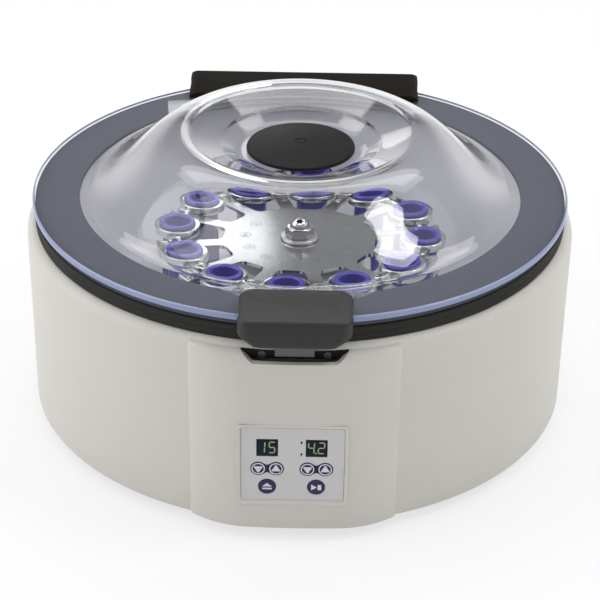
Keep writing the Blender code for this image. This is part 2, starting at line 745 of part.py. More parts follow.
def build_base_plate(material):
    inset = CASING_WALL + SEAT_GAP
    rings = [casing_ring(BASE_Z, inset), casing_ring(BASE_PLATE_TOP_Z, inset)]
    plate = add_object("base_plate", capped_rings(rings), material)
    slots = bmesh.new()
    for step in range(VENT_SLOT_COUNT):
        slot = block(
            (VENT_SLOT_START_RADIUS, -VENT_SLOT_WIDTH / 2, BASE_Z - CUT_OVERRUN),
            (
                VENT_SLOT_START_RADIUS + VENT_SLOT_LENGTH,
                VENT_SLOT_WIDTH / 2,
                BASE_PLATE_TOP_Z + CUT_OVERRUN,
            ),
        )
        turn = Matrix.Rotation(2 * math.pi * step / VENT_SLOT_COUNT, 4, "Z")
        bmesh.ops.transform(slot, matrix=turn, verts=slot.verts)
        merge_builders(slots, slot)
    add_boolean(plate, cutter("vent_slots", slots))
    return plate


def build_feet(material):
    top = FOOT_HEIGHT - SEAT_GAP
    profile = [(0.0, top), (0.0, 0.0), (FOOT_TIP_RADIUS, 0.0), (FOOT_RADIUS, top)]
    names = ("foot_back_right", "foot_back_left", "foot_front_left", "foot_front_right")
    for index, name in zip(range(FOOT_COUNT), names):
        foot = add_object(name, revolved(profile, SLEEVE_FACETS), material)
        angle = 2 * math.pi * (index + 0.5) / FOOT_COUNT
        foot.location = (
            FOOT_CIRCLE_RADIUS * math.cos(angle),
            FOOT_CIRCLE_RADIUS * math.sin(angle),
            0.0,
        )


# Chamber and rim


def build_chamber_wall(material):
    """Tube that hangs by its flange on the casing's rim and stands just above the floor."""
    foot = BOWL_FLOOR_Z + SEAT_GAP
    flange_underside = BOWL_FLANGE_TOP_Z - BOWL_FLANGE_THICKNESS
    outline = [
        (BOWL_INNER_RADIUS, foot),
        (BOWL_OUTER_RADIUS, foot),
        (BOWL_OUTER_RADIUS, flange_underside),
        (BOWL_FLANGE_RADIUS, flange_underside),
        (BOWL_FLANGE_RADIUS, BOWL_FLANGE_TOP_Z),
        (BOWL_INNER_RADIUS, BOWL_FLANGE_TOP_Z),
    ]
    return add_object("chamber_wall", revolved(outline, BOWL_FACETS), material)


def build_chamber_floor(material):
    """Floor whose middle rises into a hollow tower over the motor."""
    path = [
        (TOWER_HOLE_RADIUS, TOWER_TOP_Z),
        (TOWER_RADIUS - TOWER_TAPER, TOWER_TOP_Z),
        (TOWER_RADIUS, TOWER_TOP_Z - TOWER_TAPER),
        (TOWER_RADIUS + TOWER_TAPER, BOWL_FLOOR_Z),
        (BOWL_OUTER_RADIUS, BOWL_FLOOR_Z),
    ]
    outline = shell_outline(path, BOWL_WALL)
    return add_object("chamber_floor", revolved(outline, BOWL_FACETS), material)


def build_seal(material):
    """Rubber rim: it sits on the bowl's flange and its lip covers the flange's edge."""
    lip_inner = SEAL_RADIUS - SEAL_LIP_THICKNESS
    lip_foot = CASING_TOP_Z + SEAT_GAP
    width = SEAL_RADIUS - SEAL_INNER_RADIUS
    crown = [
        (SEAL_INNER_RADIUS + width * across, SEAL_BASE_Z + SEAL_HEIGHT * up)
        for across, up in SEAL_ROUND_SHARES
    ]
    outline = [
        (SEAL_INNER_RADIUS, SEAL_BASE_Z),
        (lip_inner, SEAL_BASE_Z),
        (lip_inner, lip_foot),
        (SEAL_RADIUS - SEAL_LIP_BEVEL, lip_foot),
    ]
    return add_object("rim_seal", revolved(outline + crown, BOWL_FACETS), material)


# Lid


def bell_height(radius):
    """Height of the dome's outside above the lid's plane, from its foot to its crown."""
    share = (LID_DOME_FOOT_RADIUS - radius) / (LID_DOME_FOOT_RADIUS - LID_CROWN_RADIUS)
    eased = share * share * (3 - 2 * share)
    return LID_CROWN_HEIGHT * (math.sin(share * math.pi / 2) + eased) / 2


def lid_path():
    """The lid's upper side as (radius, height), from its edge to its middle hole."""
    path = [(LID_RADIUS, LID_TOP_Z)]
    span = LID_DOME_FOOT_RADIUS - LID_CROWN_RADIUS
    for step in range(LID_BELL_STEPS + 1):
        radius = LID_DOME_FOOT_RADIUS - span * step / LID_BELL_STEPS
        path.append((radius, LID_TOP_Z + bell_height(radius)))
    crown_z = LID_TOP_Z + LID_CROWN_HEIGHT
    inward = LID_CROWN_RADIUS - LID_WELL_RIM_RADIUS
    for step in range(1, LID_CROWN_STEPS + 1):
        share = step / LID_CROWN_STEPS
        path.append((LID_CROWN_RADIUS - inward * share, crown_z - LID_WELL_RIM_DROP * share**2))
    fall = LID_WELL_FLOOR_DROP - LID_WELL_RIM_DROP
    width = LID_WELL_RIM_RADIUS - LID_WELL_FLOOR_RADIUS
    for step in range(1, LID_WELL_STEPS + 1):
        share = step / LID_WELL_STEPS
        eased = 1 - (1 - share) ** 2
        path.append(
            (LID_WELL_RIM_RADIUS - width * share, crown_z - LID_WELL_RIM_DROP - fall * eased)
        )
    path.append((LID_HOLE_RADIUS, WELL_FLOOR_Z))
    return path


def build_lid_dome(material):
    path = lid_path()
    inner = [(radius, height - LID_WALL) for radius, height in path]
    return add_object("lid_dome", revolved(path + inner[::-1], LID_FACETS), material)


def build_gasket(material):
    top = GASKET_Z + GASKET_THICKNESS
    outline = [
        (GASKET_INNER_RADIUS, top),
        (GASKET_INNER_RADIUS, GASKET_Z),
        (GASKET_OUTER_RADIUS, GASKET_Z),
        (GASKET_OUTER_RADIUS, top),
    ]
    return add_object("lid_gasket", revolved(outline, LID_FACETS), material)


def build_cap(material):
    """Shallow domed disc with a stem through the lid's hole."""
    seat = WELL_FLOOR_Z + SEAT_GAP
    stem = LID_HOLE_RADIUS - CAP_STEM_CLEARANCE
    rim = seat + CAP_RIM_HEIGHT
    outline = [
        (0.0, seat - CAP_STEM_LENGTH),
        (stem, seat - CAP_STEM_LENGTH),
        (stem, seat),
        (CAP_RADIUS, seat),
        (CAP_RADIUS, rim - CAP_EDGE_ROUND),
        (CAP_RADIUS - CAP_EDGE_ROUND, rim),
    ]
    outline += [(CAP_RADIUS * across, rim + CAP_CROWN * up) for across, up in CAP_CROWN_SHARES]
    outline.append((0.0, rim + CAP_CROWN))
    return add_object("lid_cap", revolved(outline, SMALL_ROUND_FACETS), material)


def build_handle(material):
    """Block that grips the lid's edge; its top falls towards the front."""
    top = LID_TOP_Z + HANDLE_TOP_RISE
    front_top = top - HANDLE_TOP_SLOPE
    taper_z = HANDLE_BOTTOM_Z + HANDLE_TAPER_HEIGHT
    outline = [
        (-HANDLE_FRONT, HANDLE_BOTTOM_Z),
        (-HANDLE_FRONT, taper_z),
        (-HANDLE_FRONT, front_top - HANDLE_EDGE_ROUND),
        (-HANDLE_FRONT + HANDLE_EDGE_ROUND, front_top),
        (-HANDLE_BACK, top),
        (-HANDLE_BACK, taper_z),
        (-HANDLE_BACK, HANDLE_BOTTOM_Z),
    ]
    builder = prism(outline, 2 * HANDLE_HALF_WIDTH, along_x(-HANDLE_HALF_WIDTH))
    upright = Vector((0.0, 0.0, 1.0))

    def is_corner(edge):
        along = (edge.verts[0].co - edge.verts[1].co).normalized()
        return abs(along.dot(upright)) > 0.7

    bevel_edges(builder, HANDLE_SIDE_ROUND, HANDLE_ROUND_SEGMENTS, is_corner)
    for corner in builder.verts:
        if corner.co.z < (HANDLE_BOTTOM_Z + taper_z) / 2:
            corner.co.x *= HANDLE_FOOT_HALF_WIDTH / HANDLE_HALF_WIDTH
    handle = add_object("lid_handle", builder, material)
    low = HANDLE_BOTTOM_Z - CUT_OVERRUN
    room_height = LID_TOP_Z + SEAT_GAP - low
    lid_room = rod(LID_RADIUS + SEAT_GAP, room_height, LID_FACETS, upward(low))
    add_boolean(handle, cutter("handle_lid_room", lid_room))
    return handle


def build_strap(material):
    """Metal tongue below the handle, with its foot bent back."""
    top = HANDLE_BOTTOM_Z - SEAT_GAP
    bottom = top - STRAP_LENGTH
    front = -STRAP_DISTANCE - STRAP_THICKNESS
    foot = -STRAP_DISTANCE + STRAP_FOOT_LENGTH
    outline = [
        (front, bottom),
        (foot, bottom),
        (foot, bottom + STRAP_THICKNESS),
        (-STRAP_DISTANCE, bottom + STRAP_THICKNESS),
        (-STRAP_DISTANCE, top),
        (front, top),
    ]
    builder = prism(outline, 2 * STRAP_HALF_WIDTH, along_x(-STRAP_HALF_WIDTH))
    return add_object("latch_strap", builder, material)


def build_latch_insert(material):
    insert = add_object("latch_insert", latch_shape(0.0, 0.0), material)
    holes = bmesh.new()
    for side in (-1, 1):
        hole = rod(
            LATCH_SCREW_RADIUS,
            LATCH_SCREW_DEPTH + CUT_OVERRUN,
            PIN_FACETS,
            Matrix.Translation((side * LATCH_SCREW_OFFSET, 0.0, (LATCH_BOTTOM_Z + CASING_TOP_Z) / 2))
            @ facing_front(LATCH_FACE_DISTANCE - LATCH_SCREW_DEPTH),
        )
        merge_builders(holes, hole)
    add_boolean(insert, cutter("latch_screw_holes", holes))
    return insert


# Hinge


def hinge_rod(radius, half_width):
    """A rod on the hinge's axis."""
    frame = Matrix.Translation((0.0, HINGE_AXIS_DISTANCE, HINGE_AXIS_Z)) @ along_x(-half_width)
    return rod(radius, 2 * half_width, BARREL_FACETS, frame)


def build_hinge_cover(material):
    """Plate on the lid's back edge, round the dome's foot, with a knuckle at each end."""
    low = LID_TOP_Z + SEAT_GAP
    top = low + HINGE_COVER_THICKNESS
    barrel_back = HINGE_AXIS_DISTANCE + HINGE_BARREL_RADIUS
    outline = [
        (HINGE_COVER_FRONT, low),
        (HINGE_COVER_BACK, low),
        (HINGE_COVER_BACK, HINGE_AXIS_Z - HINGE_BARREL_RADIUS / 2),
        (HINGE_AXIS_DISTANCE, HINGE_AXIS_Z - HINGE_BARREL_RADIUS),
        (barrel_back, HINGE_AXIS_Z),
        (barrel_back - SEAT_GAP, HINGE_AXIS_Z + HINGE_BARREL_RADIUS / 2),
        (HINGE_COVER_BACK, top),
        (HINGE_COVER_FRONT + HINGE_COVER_THICKNESS / 2, top),
    ]
    builder = prism(outline, 2 * HINGE_HALF_WIDTH, along_x(-HINGE_HALF_WIDTH))
    cover = add_object("hinge_cover", builder, material)
    middle = HINGE_MIDDLE_HALF_WIDTH + HINGE_SIDE_GAP
    room = block(
        (-middle, HINGE_COVER_BACK, HINGE_AXIS_Z - HINGE_BARREL_RADIUS - CUT_OVERRUN),
        (middle, barrel_back + CUT_OVERRUN, top + CUT_OVERRUN),
    )
    add_boolean(cover, cutter("hinge_cover_room", room))
    dome_room = rod(
        LID_DOME_FOOT_RADIUS + HINGE_COVER_DOME_GAP,
        HINGE_COVER_THICKNESS + 2 * CUT_OVERRUN,
        LID_FACETS,
        upward(low - CUT_OVERRUN),
    )
    add_boolean(cover, cutter("hinge_cover_dome_room", dome_room))
    bore = hinge_rod(HINGE_PIN_RADIUS + HINGE_PIN_CLEARANCE, HINGE_HALF_WIDTH + CUT_OVERRUN)
    add_boolean(cover, cutter("hinge_cover_bore", bore))
    return cover


def build_hinge_bracket(material):
    """Bracket on the casing's back, with the middle knuckle."""
    half = HINGE_MIDDLE_HALF_WIDTH
    top = CASING_TOP_Z - HINGE_BRACKET_DROP
    back = HINGE_AXIS_DISTANCE + HINGE_BARREL_RADIUS
    inner = CASING_MOUTH_RADIUS
    outline = [
        (inner, top - HINGE_BRACKET_HEIGHT),
        (HINGE_BRACKET_DISTANCE, top - HINGE_BRACKET_HEIGHT),
        (back, top - HINGE_BRACKET_HEIGHT + HINGE_BARREL_RADIUS),
    ]
    axis = (HINGE_AXIS_DISTANCE, HINGE_AXIS_Z)
    outline += arc(axis, HINGE_BARREL_RADIUS, 0.0, math.pi, BARREL_TOP_STEPS)
    outline += [(HINGE_AXIS_DISTANCE - HINGE_BARREL_RADIUS, top), (inner, top)]
    bracket = add_object("hinge_bracket", prism(outline, 2 * half, along_x(-half)), material)
    rings = [casing_ring(BASE_Z, -2 * SEAT_GAP), casing_ring(CASING_TOP_Z, -2 * SEAT_GAP)]
    add_boolean(bracket, cutter("hinge_bracket_drum", capped_rings(rings)))
    bore = hinge_rod(HINGE_PIN_RADIUS + HINGE_PIN_CLEARANCE, half + CUT_OVERRUN)
    add_boolean(bracket, cutter("hinge_bracket_bore", bore))
    return bracket


def build_hinge_pin(material):
    return add_object("hinge_pin", hinge_rod(HINGE_PIN_RADIUS, HINGE_HALF_WIDTH), material)


# Drive


def build_drive(materials):
    """Motor with its flange, on a rubber ring."""
    ring_top = MOUNT_RING_Z + MOUNT_RING_HEIGHT
    ring_outline = [
        (MOUNT_RING_INNER_RADIUS, MOUNT_RING_Z),
        (MOUNT_RING_OUTER_RADIUS, MOUNT_RING_Z),
        (MOUNT_RING_OUTER_RADIUS, ring_top),
        (MOUNT_RING_INNER_RADIUS, ring_top),
    ]
    ring = revolved(ring_outline, SMALL_ROUND_FACETS)
    add_object("vibration_ring", ring, materials["rubber"])
    bore = SHAFT_RADIUS + SHAFT_CLEARANCE
    motor_outline = [
        (0.0, MOTOR_Z),
        (MOTOR_FLANGE_RADIUS, MOTOR_Z),
        (MOTOR_FLANGE_RADIUS, MOTOR_FLANGE_TOP_Z),
        (MOTOR_RADIUS, MOTOR_FLANGE_TOP_Z),
        (MOTOR_RADIUS, MOTOR_TOP_Z - MOTOR_ROUND),
        (MOTOR_RADIUS - MOTOR_ROUND, MOTOR_TOP_Z),
        (bore, MOTOR_TOP_Z),
        (bore, MOTOR_TOP_Z - MOTOR_BORE_DEPTH),
        (0.0, MOTOR_TOP_Z - MOTOR_BORE_DEPTH),
    ]
    add_object("motor", revolved(motor_outline, SMALL_ROUND_FACETS), materials["dark_metal"])


def build_shaft(material):
    """Motor shaft with the hub flange that the rotor plate sits on."""
    foot = MOTOR_TOP_Z - MOTOR_BORE_DEPTH + SEAT_GAP
    hub_top = ROTOR_PLATE_Z - SEAT_GAP
    thread = SHAFT_THREAD_RADIUS
    outline = [
        (0.0, foot),
        (SHAFT_RADIUS, foot),
        (SHAFT_RADIUS, hub_top - HUB_HEIGHT),
        (HUB_RADIUS, hub_top - HUB_HEIGHT),
        (HUB_RADIUS, hub_top),
        (thread, hub_top),
        (thread, THREAD_TOP_Z),
        (0.0, THREAD_TOP_Z),
    ]
    return add_object("motor_shaft", revolved(outline, SMALL_ROUND_FACETS), material)


# Rotor


def rotor_plate_outline():
    """Disc with straight arms between the bucket windows, corners rounded."""
    half = ROTOR_ARM_WIDTH / 2
    root_angle = math.asin(half / ROTOR_DISC_RADIUS)
    points = []
    for place in range(ROTOR_PLACES):
        arm = ROTOR_FIRST_ANGLE + PLACE_STEP * (place + 0.5)
        along = Vector((math.cos(arm), math.sin(arm)))
        across = Vector((-along.y, along.x))
        root = ROTOR_DISC_RADIUS * math.cos(root_angle)
        for side in (-1, 1):
            reaches = (root, root + ROTOR_WINDOW_CORNER, ROTOR_ARM_REACH)
            widths = (half + ROTOR_WINDOW_CORNER, half, half)
            pairs = list(zip(reaches, widths))
            if side > 0:
                pairs.reverse()
            points += [tuple(along * reach + across * side * width) for reach, width in pairs]
        window = arm + PLACE_STEP / 2
        inset = ROTOR_DISC_RADIUS - ROTOR_ROOT_DIP
        points.append((inset * math.cos(window), inset * math.sin(window)))
    return points


def build_rotor_plate(material):
    """Plate with arms; each arm has a saddle for the bucket pins and a bent-down end."""
    builder = prism(rotor_plate_outline(), ROTOR_PLATE_THICKNESS, upward(ROTOR_PLATE_Z))
    plate = add_object("rotor_plate", builder, material)
    fittings = bmesh.new()
    pin_room = bmesh.new()
    bite = ROTOR_PLATE_THICKNESS / 2
    saddle_reach = BUCKET_CIRCLE_RADIUS / math.cos(PLACE_STEP / 2)
    saddle_reach -= CARRIER_PIN_REACH * math.tan(PLACE_STEP / 4) / 2
    for place in range(ROTOR_PLACES):
        arm = ROTOR_FIRST_ANGLE + PLACE_STEP * (place + 0.5)
        turn = Matrix.Rotation(arm, 4, "Z")
        saddle = block(
            (
                saddle_reach - ROTOR_SADDLE_LENGTH / 2,
                -ROTOR_SADDLE_WIDTH / 2,
                ROTOR_PLATE_TOP_Z - bite,
            ),
            (
                saddle_reach + ROTOR_SADDLE_LENGTH / 2,
                ROTOR_SADDLE_WIDTH / 2,
                ROTOR_PLATE_TOP_Z + ROTOR_SADDLE_HEIGHT,
            ),
        )
        tab = block(
            (
                ROTOR_ARM_REACH - bite,
                -ROTOR_TAB_WIDTH / 2,
                ROTOR_PLATE_TOP_Z - ROTOR_TAB_DROP,
            ),
            (
                ROTOR_ARM_REACH - bite + ROTOR_TAB_THICKNESS,
                ROTOR_TAB_WIDTH / 2,
                ROTOR_PLATE_TOP_Z - bite / 2,
            ),
        )
        for fitting in (saddle, tab):
            bmesh.ops.transform(fitting, matrix=turn, verts=fitting.verts)
            merge_builders(fittings, fitting)
    room = CARRIER_PIN_RADIUS + CARRIER_PIN_CLEARANCE
    for place in range(ROTOR_PLACES):
        turn = Matrix.Rotation(ROTOR_FIRST_ANGLE + PLACE_STEP * place, 4, "Z")
        groove = block(
            (
                BUCKET_CIRCLE_RADIUS - room,
                -CARRIER_PIN_REACH - CARRIER_PIN_CLEARANCE,
                PIVOT_Z - room,
            ),
            (
                BUCKET_CIRCLE_RADIUS + room,
                CARRIER_PIN_REACH + CARRIER_PIN_CLEARANCE,
                PIVOT_Z + ROTOR_SADDLE_HEIGHT,
            ),
        )
        bmesh.ops.transform(groove, matrix=turn, verts=groove.verts)
        merge_builders(pin_room, groove)
    add_boolean(plate, cutter("rotor_fittings", fittings), "UNION")
    add_boolean(plate, cutter("rotor_pin_grooves", pin_room))
    bore = rod(
        SHAFT_THREAD_RADIUS + SEAT_GAP,
        ROTOR_PLATE_THICKNESS + 2 * CUT_OVERRUN,
        SMALL_ROUND_FACETS,
        upward(ROTOR_PLATE_Z - CUT_OVERRUN),
    )
    add_boolean(plate, cutter("rotor_bore", bore))
    return plate


def build_washer(material):
    bore = SHAFT_THREAD_RADIUS + SEAT_GAP
    outline = [
        (bore, WASHER_Z),
        (WASHER_RADIUS, WASHER_Z),
        (WASHER_RADIUS, WASHER_Z + WASHER_THICKNESS),
        (bore, WASHER_Z + WASHER_THICKNESS),
    ]
    return add_object("rotor_washer", revolved(outline, SMALL_ROUND_FACETS), material)


def build_nut(material):
    """Hexagon with a domed end and a blind bore."""
    corner_radius = NUT_WIDTH / math.sqrt(3)
    hexagon = rod(corner_radius, NUT_HEX_HEIGHT, NUT_SIDES, upward(NUT_Z))
    nut = add_object("rotor_nut", hexagon, material)
    shoulder = NUT_Z + NUT_HEX_HEIGHT
    dome = [(0.0, shoulder - NUT_DOME_BITE), (NUT_DOME_RADIUS, shoulder - NUT_DOME_BITE)]
    dome += arc((0.0, shoulder), NUT_DOME_RADIUS, 0.0, math.pi / 2, NUT_DOME_STEPS)[:-1]
    dome.append((0.0, shoulder + NUT_DOME_RADIUS))
    add_boolean(nut, cutter("nut_dome", revolved(dome, BARREL_FACETS)), "UNION")
    bore = rod(
        SHAFT_THREAD_RADIUS + SEAT_GAP,
        THREAD_TOP_Z + THREAD_END_GAP - NUT_Z + CUT_OVERRUN,
        SMALL_ROUND_FACETS,
        upward(NUT_Z - CUT_OVERRUN),
    )
    add_boolean(nut, cutter("nut_bore", bore))
    return nut


# Buckets, modelled around their pivot: x outwards, y along the pins


def carrier_mesh(material):
    """Ring with its two pins."""
    bore = CARRIER_BORE_RADIUS
    low = -CARRIER_HEIGHT / 2
    high = CARRIER_HEIGHT / 2
    outline = [(bore, low), (CARRIER_RADIUS, low), (CARRIER_RADIUS, high), (bore, high)]
    ring = add_object("carrier_pattern", revolved(outline, SLEEVE_FACETS), material)
    pins = bmesh.new()
    overlap = (CARRIER_RADIUS + bore) / 2
    for side in (-1, 1):
        quarter = Matrix.Rotation(-side * math.pi / 2, 4, "X")
        frame = Matrix.Translation((0.0, side * overlap, 0.0)) @ quarter
        pin = rod(CARRIER_PIN_RADIUS, CARRIER_PIN_REACH - overlap, PIN_FACETS, frame)
        merge_builders(pins, pin)
    tool = cutter("carrier_pins", pins)
    add_boolean(ring, tool, "UNION")
    graph = bpy.context.evaluated_depsgraph_get()
    mesh = bpy.data.meshes.new_from_object(ring.evaluated_get(graph))
    for spare in (ring, tool):
        bpy.data.objects.remove(spare, do_unlink=True)
    return mesh


def sleeve_mesh(material):
    """Tube holder with a flange on the carrier and a narrowed closed end."""
    seat = CARRIER_HEIGHT / 2 + SEAT_GAP
    top = seat + SLEEVE_FLANGE_THICKNESS
    outline = [
        (0.0, -SLEEVE_HANG),
        (SLEEVE_TIP_RADIUS, -SLEEVE_HANG),
        (SLEEVE_RADIUS, -SLEEVE_HANG + SLEEVE_TIP_HEIGHT),
        (SLEEVE_RADIUS, seat),
        (SLEEVE_FLANGE_RADIUS, seat),
        (SLEEVE_FLANGE_RADIUS, top),
        (SLEEVE_BORE_RADIUS, top),
        (SLEEVE_BORE_RADIUS, -SLEEVE_HANG + SLEEVE_TIP_HEIGHT),
        (0.0, -SLEEVE_HANG + SLEEVE_FLOOR),
    ]
    pattern = add_object("sleeve_pattern", revolved(outline, SLEEVE_FACETS), material)
    mesh = pattern.data
    bpy.data.objects.remove(pattern, do_unlink=True)
    return mesh


def build_buckets(materials, rotor_axis):
    carrier = carrier_mesh(materials["chrome"])
    sleeve = sleeve_mesh(materials["blue_plastic"])
    for place in range(ROTOR_PLACES):
        angle = ROTOR_FIRST_ANGLE + PLACE_STEP * place
        location = (
            BUCKET_CIRCLE_RADIUS * math.cos(angle),
            BUCKET_CIRCLE_RADIUS * math.sin(angle),
            PIVOT_Z,
        )
        pivot = add_empty(f"bucket_pivot_{place + 1:02d}", location, angle)
        hang_on(rotor_axis, pivot)
        for kind, mesh in (("carrier", carrier), ("sleeve", sleeve)):
            piece = bpy.data.objects.new(f"{kind}_{place + 1:02d}", mesh)
            bpy.context.scene.collection.objects.link(piece)
            piece.parent = pivot


# Control panel


def group_x(side):
    """Middle of the left (-1) or right (1) group of display and keys."""
    return PANEL_CENTRE_X + GROUP_SHIFT + side * GROUP_OFFSET


def key_places():
    """Name, x, height above the panel's foot and radius of each key."""
    places = []
    for group, side in (("time", -1), ("speed", 1)):
        for kind, shift in (("down", -1), ("up", 1)):
            across = group_x(side) + shift * ARROW_KEY_SPREAD
            places.append((f"{group}_{kind}_key", across, ARROW_KEY_RISE, ARROW_KEY_RADIUS))
    places.append(("open_key", group_x(-1), ROUND_KEY_RISE, ROUND_KEY_RADIUS))
    places.append(("start_key", group_x(1), ROUND_KEY_RISE, ROUND_KEY_RADIUS))
    return places


def display_outline(side, margin):
    centre_z = PANEL_BOTTOM_Z + DISPLAY_RISE
    across = DISPLAY_WIDTH / 2 + margin
    up = DISPLAY_HEIGHT / 2 + margin
    middle = group_x(side)
    return [
        (middle - across, centre_z - up),
        (middle + across, centre_z - up),
        (middle + across, centre_z + up),
        (middle - across, centre_z + up),
    ]


def build_panel(materials):
    outline = rounded_rectangle(
        (PANEL_CENTRE_X - PANEL_HALF_WIDTH, PANEL_BOTTOM_Z),
        (PANEL_CENTRE_X + PANEL_HALF_WIDTH, PANEL_BOTTOM_Z + PANEL_HEIGHT),
        PANEL_CORNER,
        CORNER_STEPS,
    )
    builder = prism(outline, PANEL_THICKNESS, facing_front(PANEL_BACK_DISTANCE))
    panel = add_object("control_panel", builder, materials["panel_film"])
    holes = bmesh.new()
    start = PANEL_BACK_DISTANCE - CUT_OVERRUN
    depth = PANEL_THICKNESS + 2 * CUT_OVERRUN
    for side in (-1, 1):
        merge_builders(holes, prism(display_outline(side, SEAT_GAP), depth, facing_front(start)))
    for _, across, rise, radius in key_places():
        centre = (across, PANEL_BOTTOM_Z + rise)
        outline = circle_points(radius + KEY_CLEARANCE, SLEEVE_FACETS, centre)
        merge_builders(holes, prism(outline, depth, facing_front(start)))
    add_boolean(panel, cutter("panel_holes", holes))
    display_depth = PANEL_THICKNESS - DISPLAY_SETBACK
    for name, side in (("time_display", -1), ("speed_display", 1)):
        glass = prism(display_outline(side, 0.0), display_depth, facing_front(PANEL_BACK_DISTANCE))
        add_object(name, glass, materials["display_glass"])
    build_keys(materials)
    build_board(materials["board"])


def build_keys(materials):
    back = BOARD_FACE_DISTANCE + KEY_BACK_GAP
    depth = PANEL_FACE_DISTANCE + KEY_PROUD - back
    for name, across, rise, radius in key_places():
        height = PANEL_BOTTOM_Z + rise
        origin = (across, -back, height)
        outline = circle_points(radius, SLEEVE_FACETS, (across, height))
        builder = centred_on(prism(outline, depth, facing_front(back)), origin)
        key = add_object(name, builder, materials["key_blue"])
        key.location = origin


def build_board(material):
    across = PANEL_HALF_WIDTH - BOARD_MARGIN
    builder = block(
        (PANEL_CENTRE_X - across, -BOARD_FACE_DISTANCE, PANEL_BOTTOM_Z + BOARD_MARGIN),
        (
            PANEL_CENTRE_X + across,
            -BOARD_FACE_DISTANCE + BOARD_THICKNESS,
            PANEL_BOTTOM_Z + PANEL_HEIGHT - BOARD_MARGIN,
        ),
    )
    return add_object("control_board", builder, material)


# Power inlet and switch


def build_inlet(material):
    """Inlet block: flange outside, body through the casing, socket with three pins, switch pocket."""
    across = INLET_BODY_HALF_WIDTH
    body_back = INLET_SEAT_DISTANCE - INLET_BODY_DEPTH
    body = block(
        (-across, body_back, INLET_Z - INLET_BODY_HALF_HEIGHT),
        (across, INLET_FACE_DISTANCE - SEAT_GAP, INLET_Z + INLET_BODY_HALF_HEIGHT),
    )
    inlet = add_object("power_inlet", body, material)
    flange = block(
        (-INLET_FLANGE_HALF_WIDTH, INLET_SEAT_DISTANCE, INLET_Z - INLET_FLANGE_HALF_HEIGHT),
        (INLET_FLANGE_HALF_WIDTH, INLET_FACE_DISTANCE, INLET_Z + INLET_FLANGE_HALF_HEIGHT),
    )
    add_boolean(inlet, cutter("inlet_flange", flange), "UNION")
    socket_floor = INLET_FACE_DISTANCE - SOCKET_DEPTH
    socket = block(
        (-SOCKET_OFFSET - SOCKET_HALF_WIDTH, socket_floor, INLET_Z - SOCKET_HALF_HEIGHT),
        (
            -SOCKET_OFFSET + SOCKET_HALF_WIDTH,
            INLET_FACE_DISTANCE + CUT_OVERRUN,
            INLET_Z + SOCKET_HALF_HEIGHT,
        ),
    )
    add_boolean(inlet, cutter("inlet_socket", socket))
    pocket = block(
        (
            SWITCH_OFFSET - SWITCH_POCKET_HALF_WIDTH,
            INLET_FACE_DISTANCE - SWITCH_POCKET_DEPTH,
            INLET_Z - SWITCH_POCKET_HALF_HEIGHT,
        ),
        (
            SWITCH_OFFSET + SWITCH_POCKET_HALF_WIDTH,
            INLET_FACE_DISTANCE + CUT_OVERRUN,
            INLET_Z + SWITCH_POCKET_HALF_HEIGHT,
        ),
    )
    add_boolean(inlet, cutter("switch_pocket", pocket))
    pins = bmesh.new()
    spots = ((-SOCKET_PIN_SPREAD, 0.0), (0.0, SOCKET_EARTH_RISE), (SOCKET_PIN_SPREAD, 0.0))
    for spread, rise in spots:
        x = -SOCKET_OFFSET + spread
        z = INLET_Z + rise
        pin = block(
            (x - SOCKET_PIN_HALF_WIDTH, socket_floor - SEAT_GAP, z - SOCKET_PIN_HALF_HEIGHT),
            (
                x + SOCKET_PIN_HALF_WIDTH,
                socket_floor + SOCKET_PIN_LENGTH,
                z + SOCKET_PIN_HALF_HEIGHT,
            ),
        )
        merge_builders(pins, pin)
    add_boolean(inlet, cutter("inlet_pins", pins), "UNION")
    return inlet


def build_rocker(material):
    """Rocker that tilts about a line across its pocket; at rest it is switched off."""
    half_width = SWITCH_POCKET_HALF_WIDTH - ROCKER_SIDE_GAP
    half_height = SWITCH_POCKET_HALF_HEIGHT - ROCKER_END_GAP
    outline = [
        (-half_height, ROCKER_PIVOT_DEPTH + ROCKER_RISE),
        (-half_height, 0.0),
        (-half_height / 2, -ROCKER_BACK),
        (half_height / 2, -ROCKER_BACK),
        (half_height, 0.0),
        (half_height, ROCKER_PIVOT_DEPTH + ROCKER_RISE),
        (0.0, ROCKER_PIVOT_DEPTH + ROCKER_VALLEY),
    ]
    axes = Matrix(((0, 0, 1), (0, 1, 0), (1, 0, 0))).to_4x4()
    frame = Matrix.Rotation(-ROCKER_TILT, 4, "X") @ Matrix.Translation((-half_width, 0, 0)) @ axes
    rocker = add_object("power_switch", prism(outline, 2 * half_width, frame), material)
    rocker.location = (SWITCH_OFFSET, INLET_FACE_DISTANCE - ROCKER_PIVOT_DEPTH, INLET_Z)
    return rocker


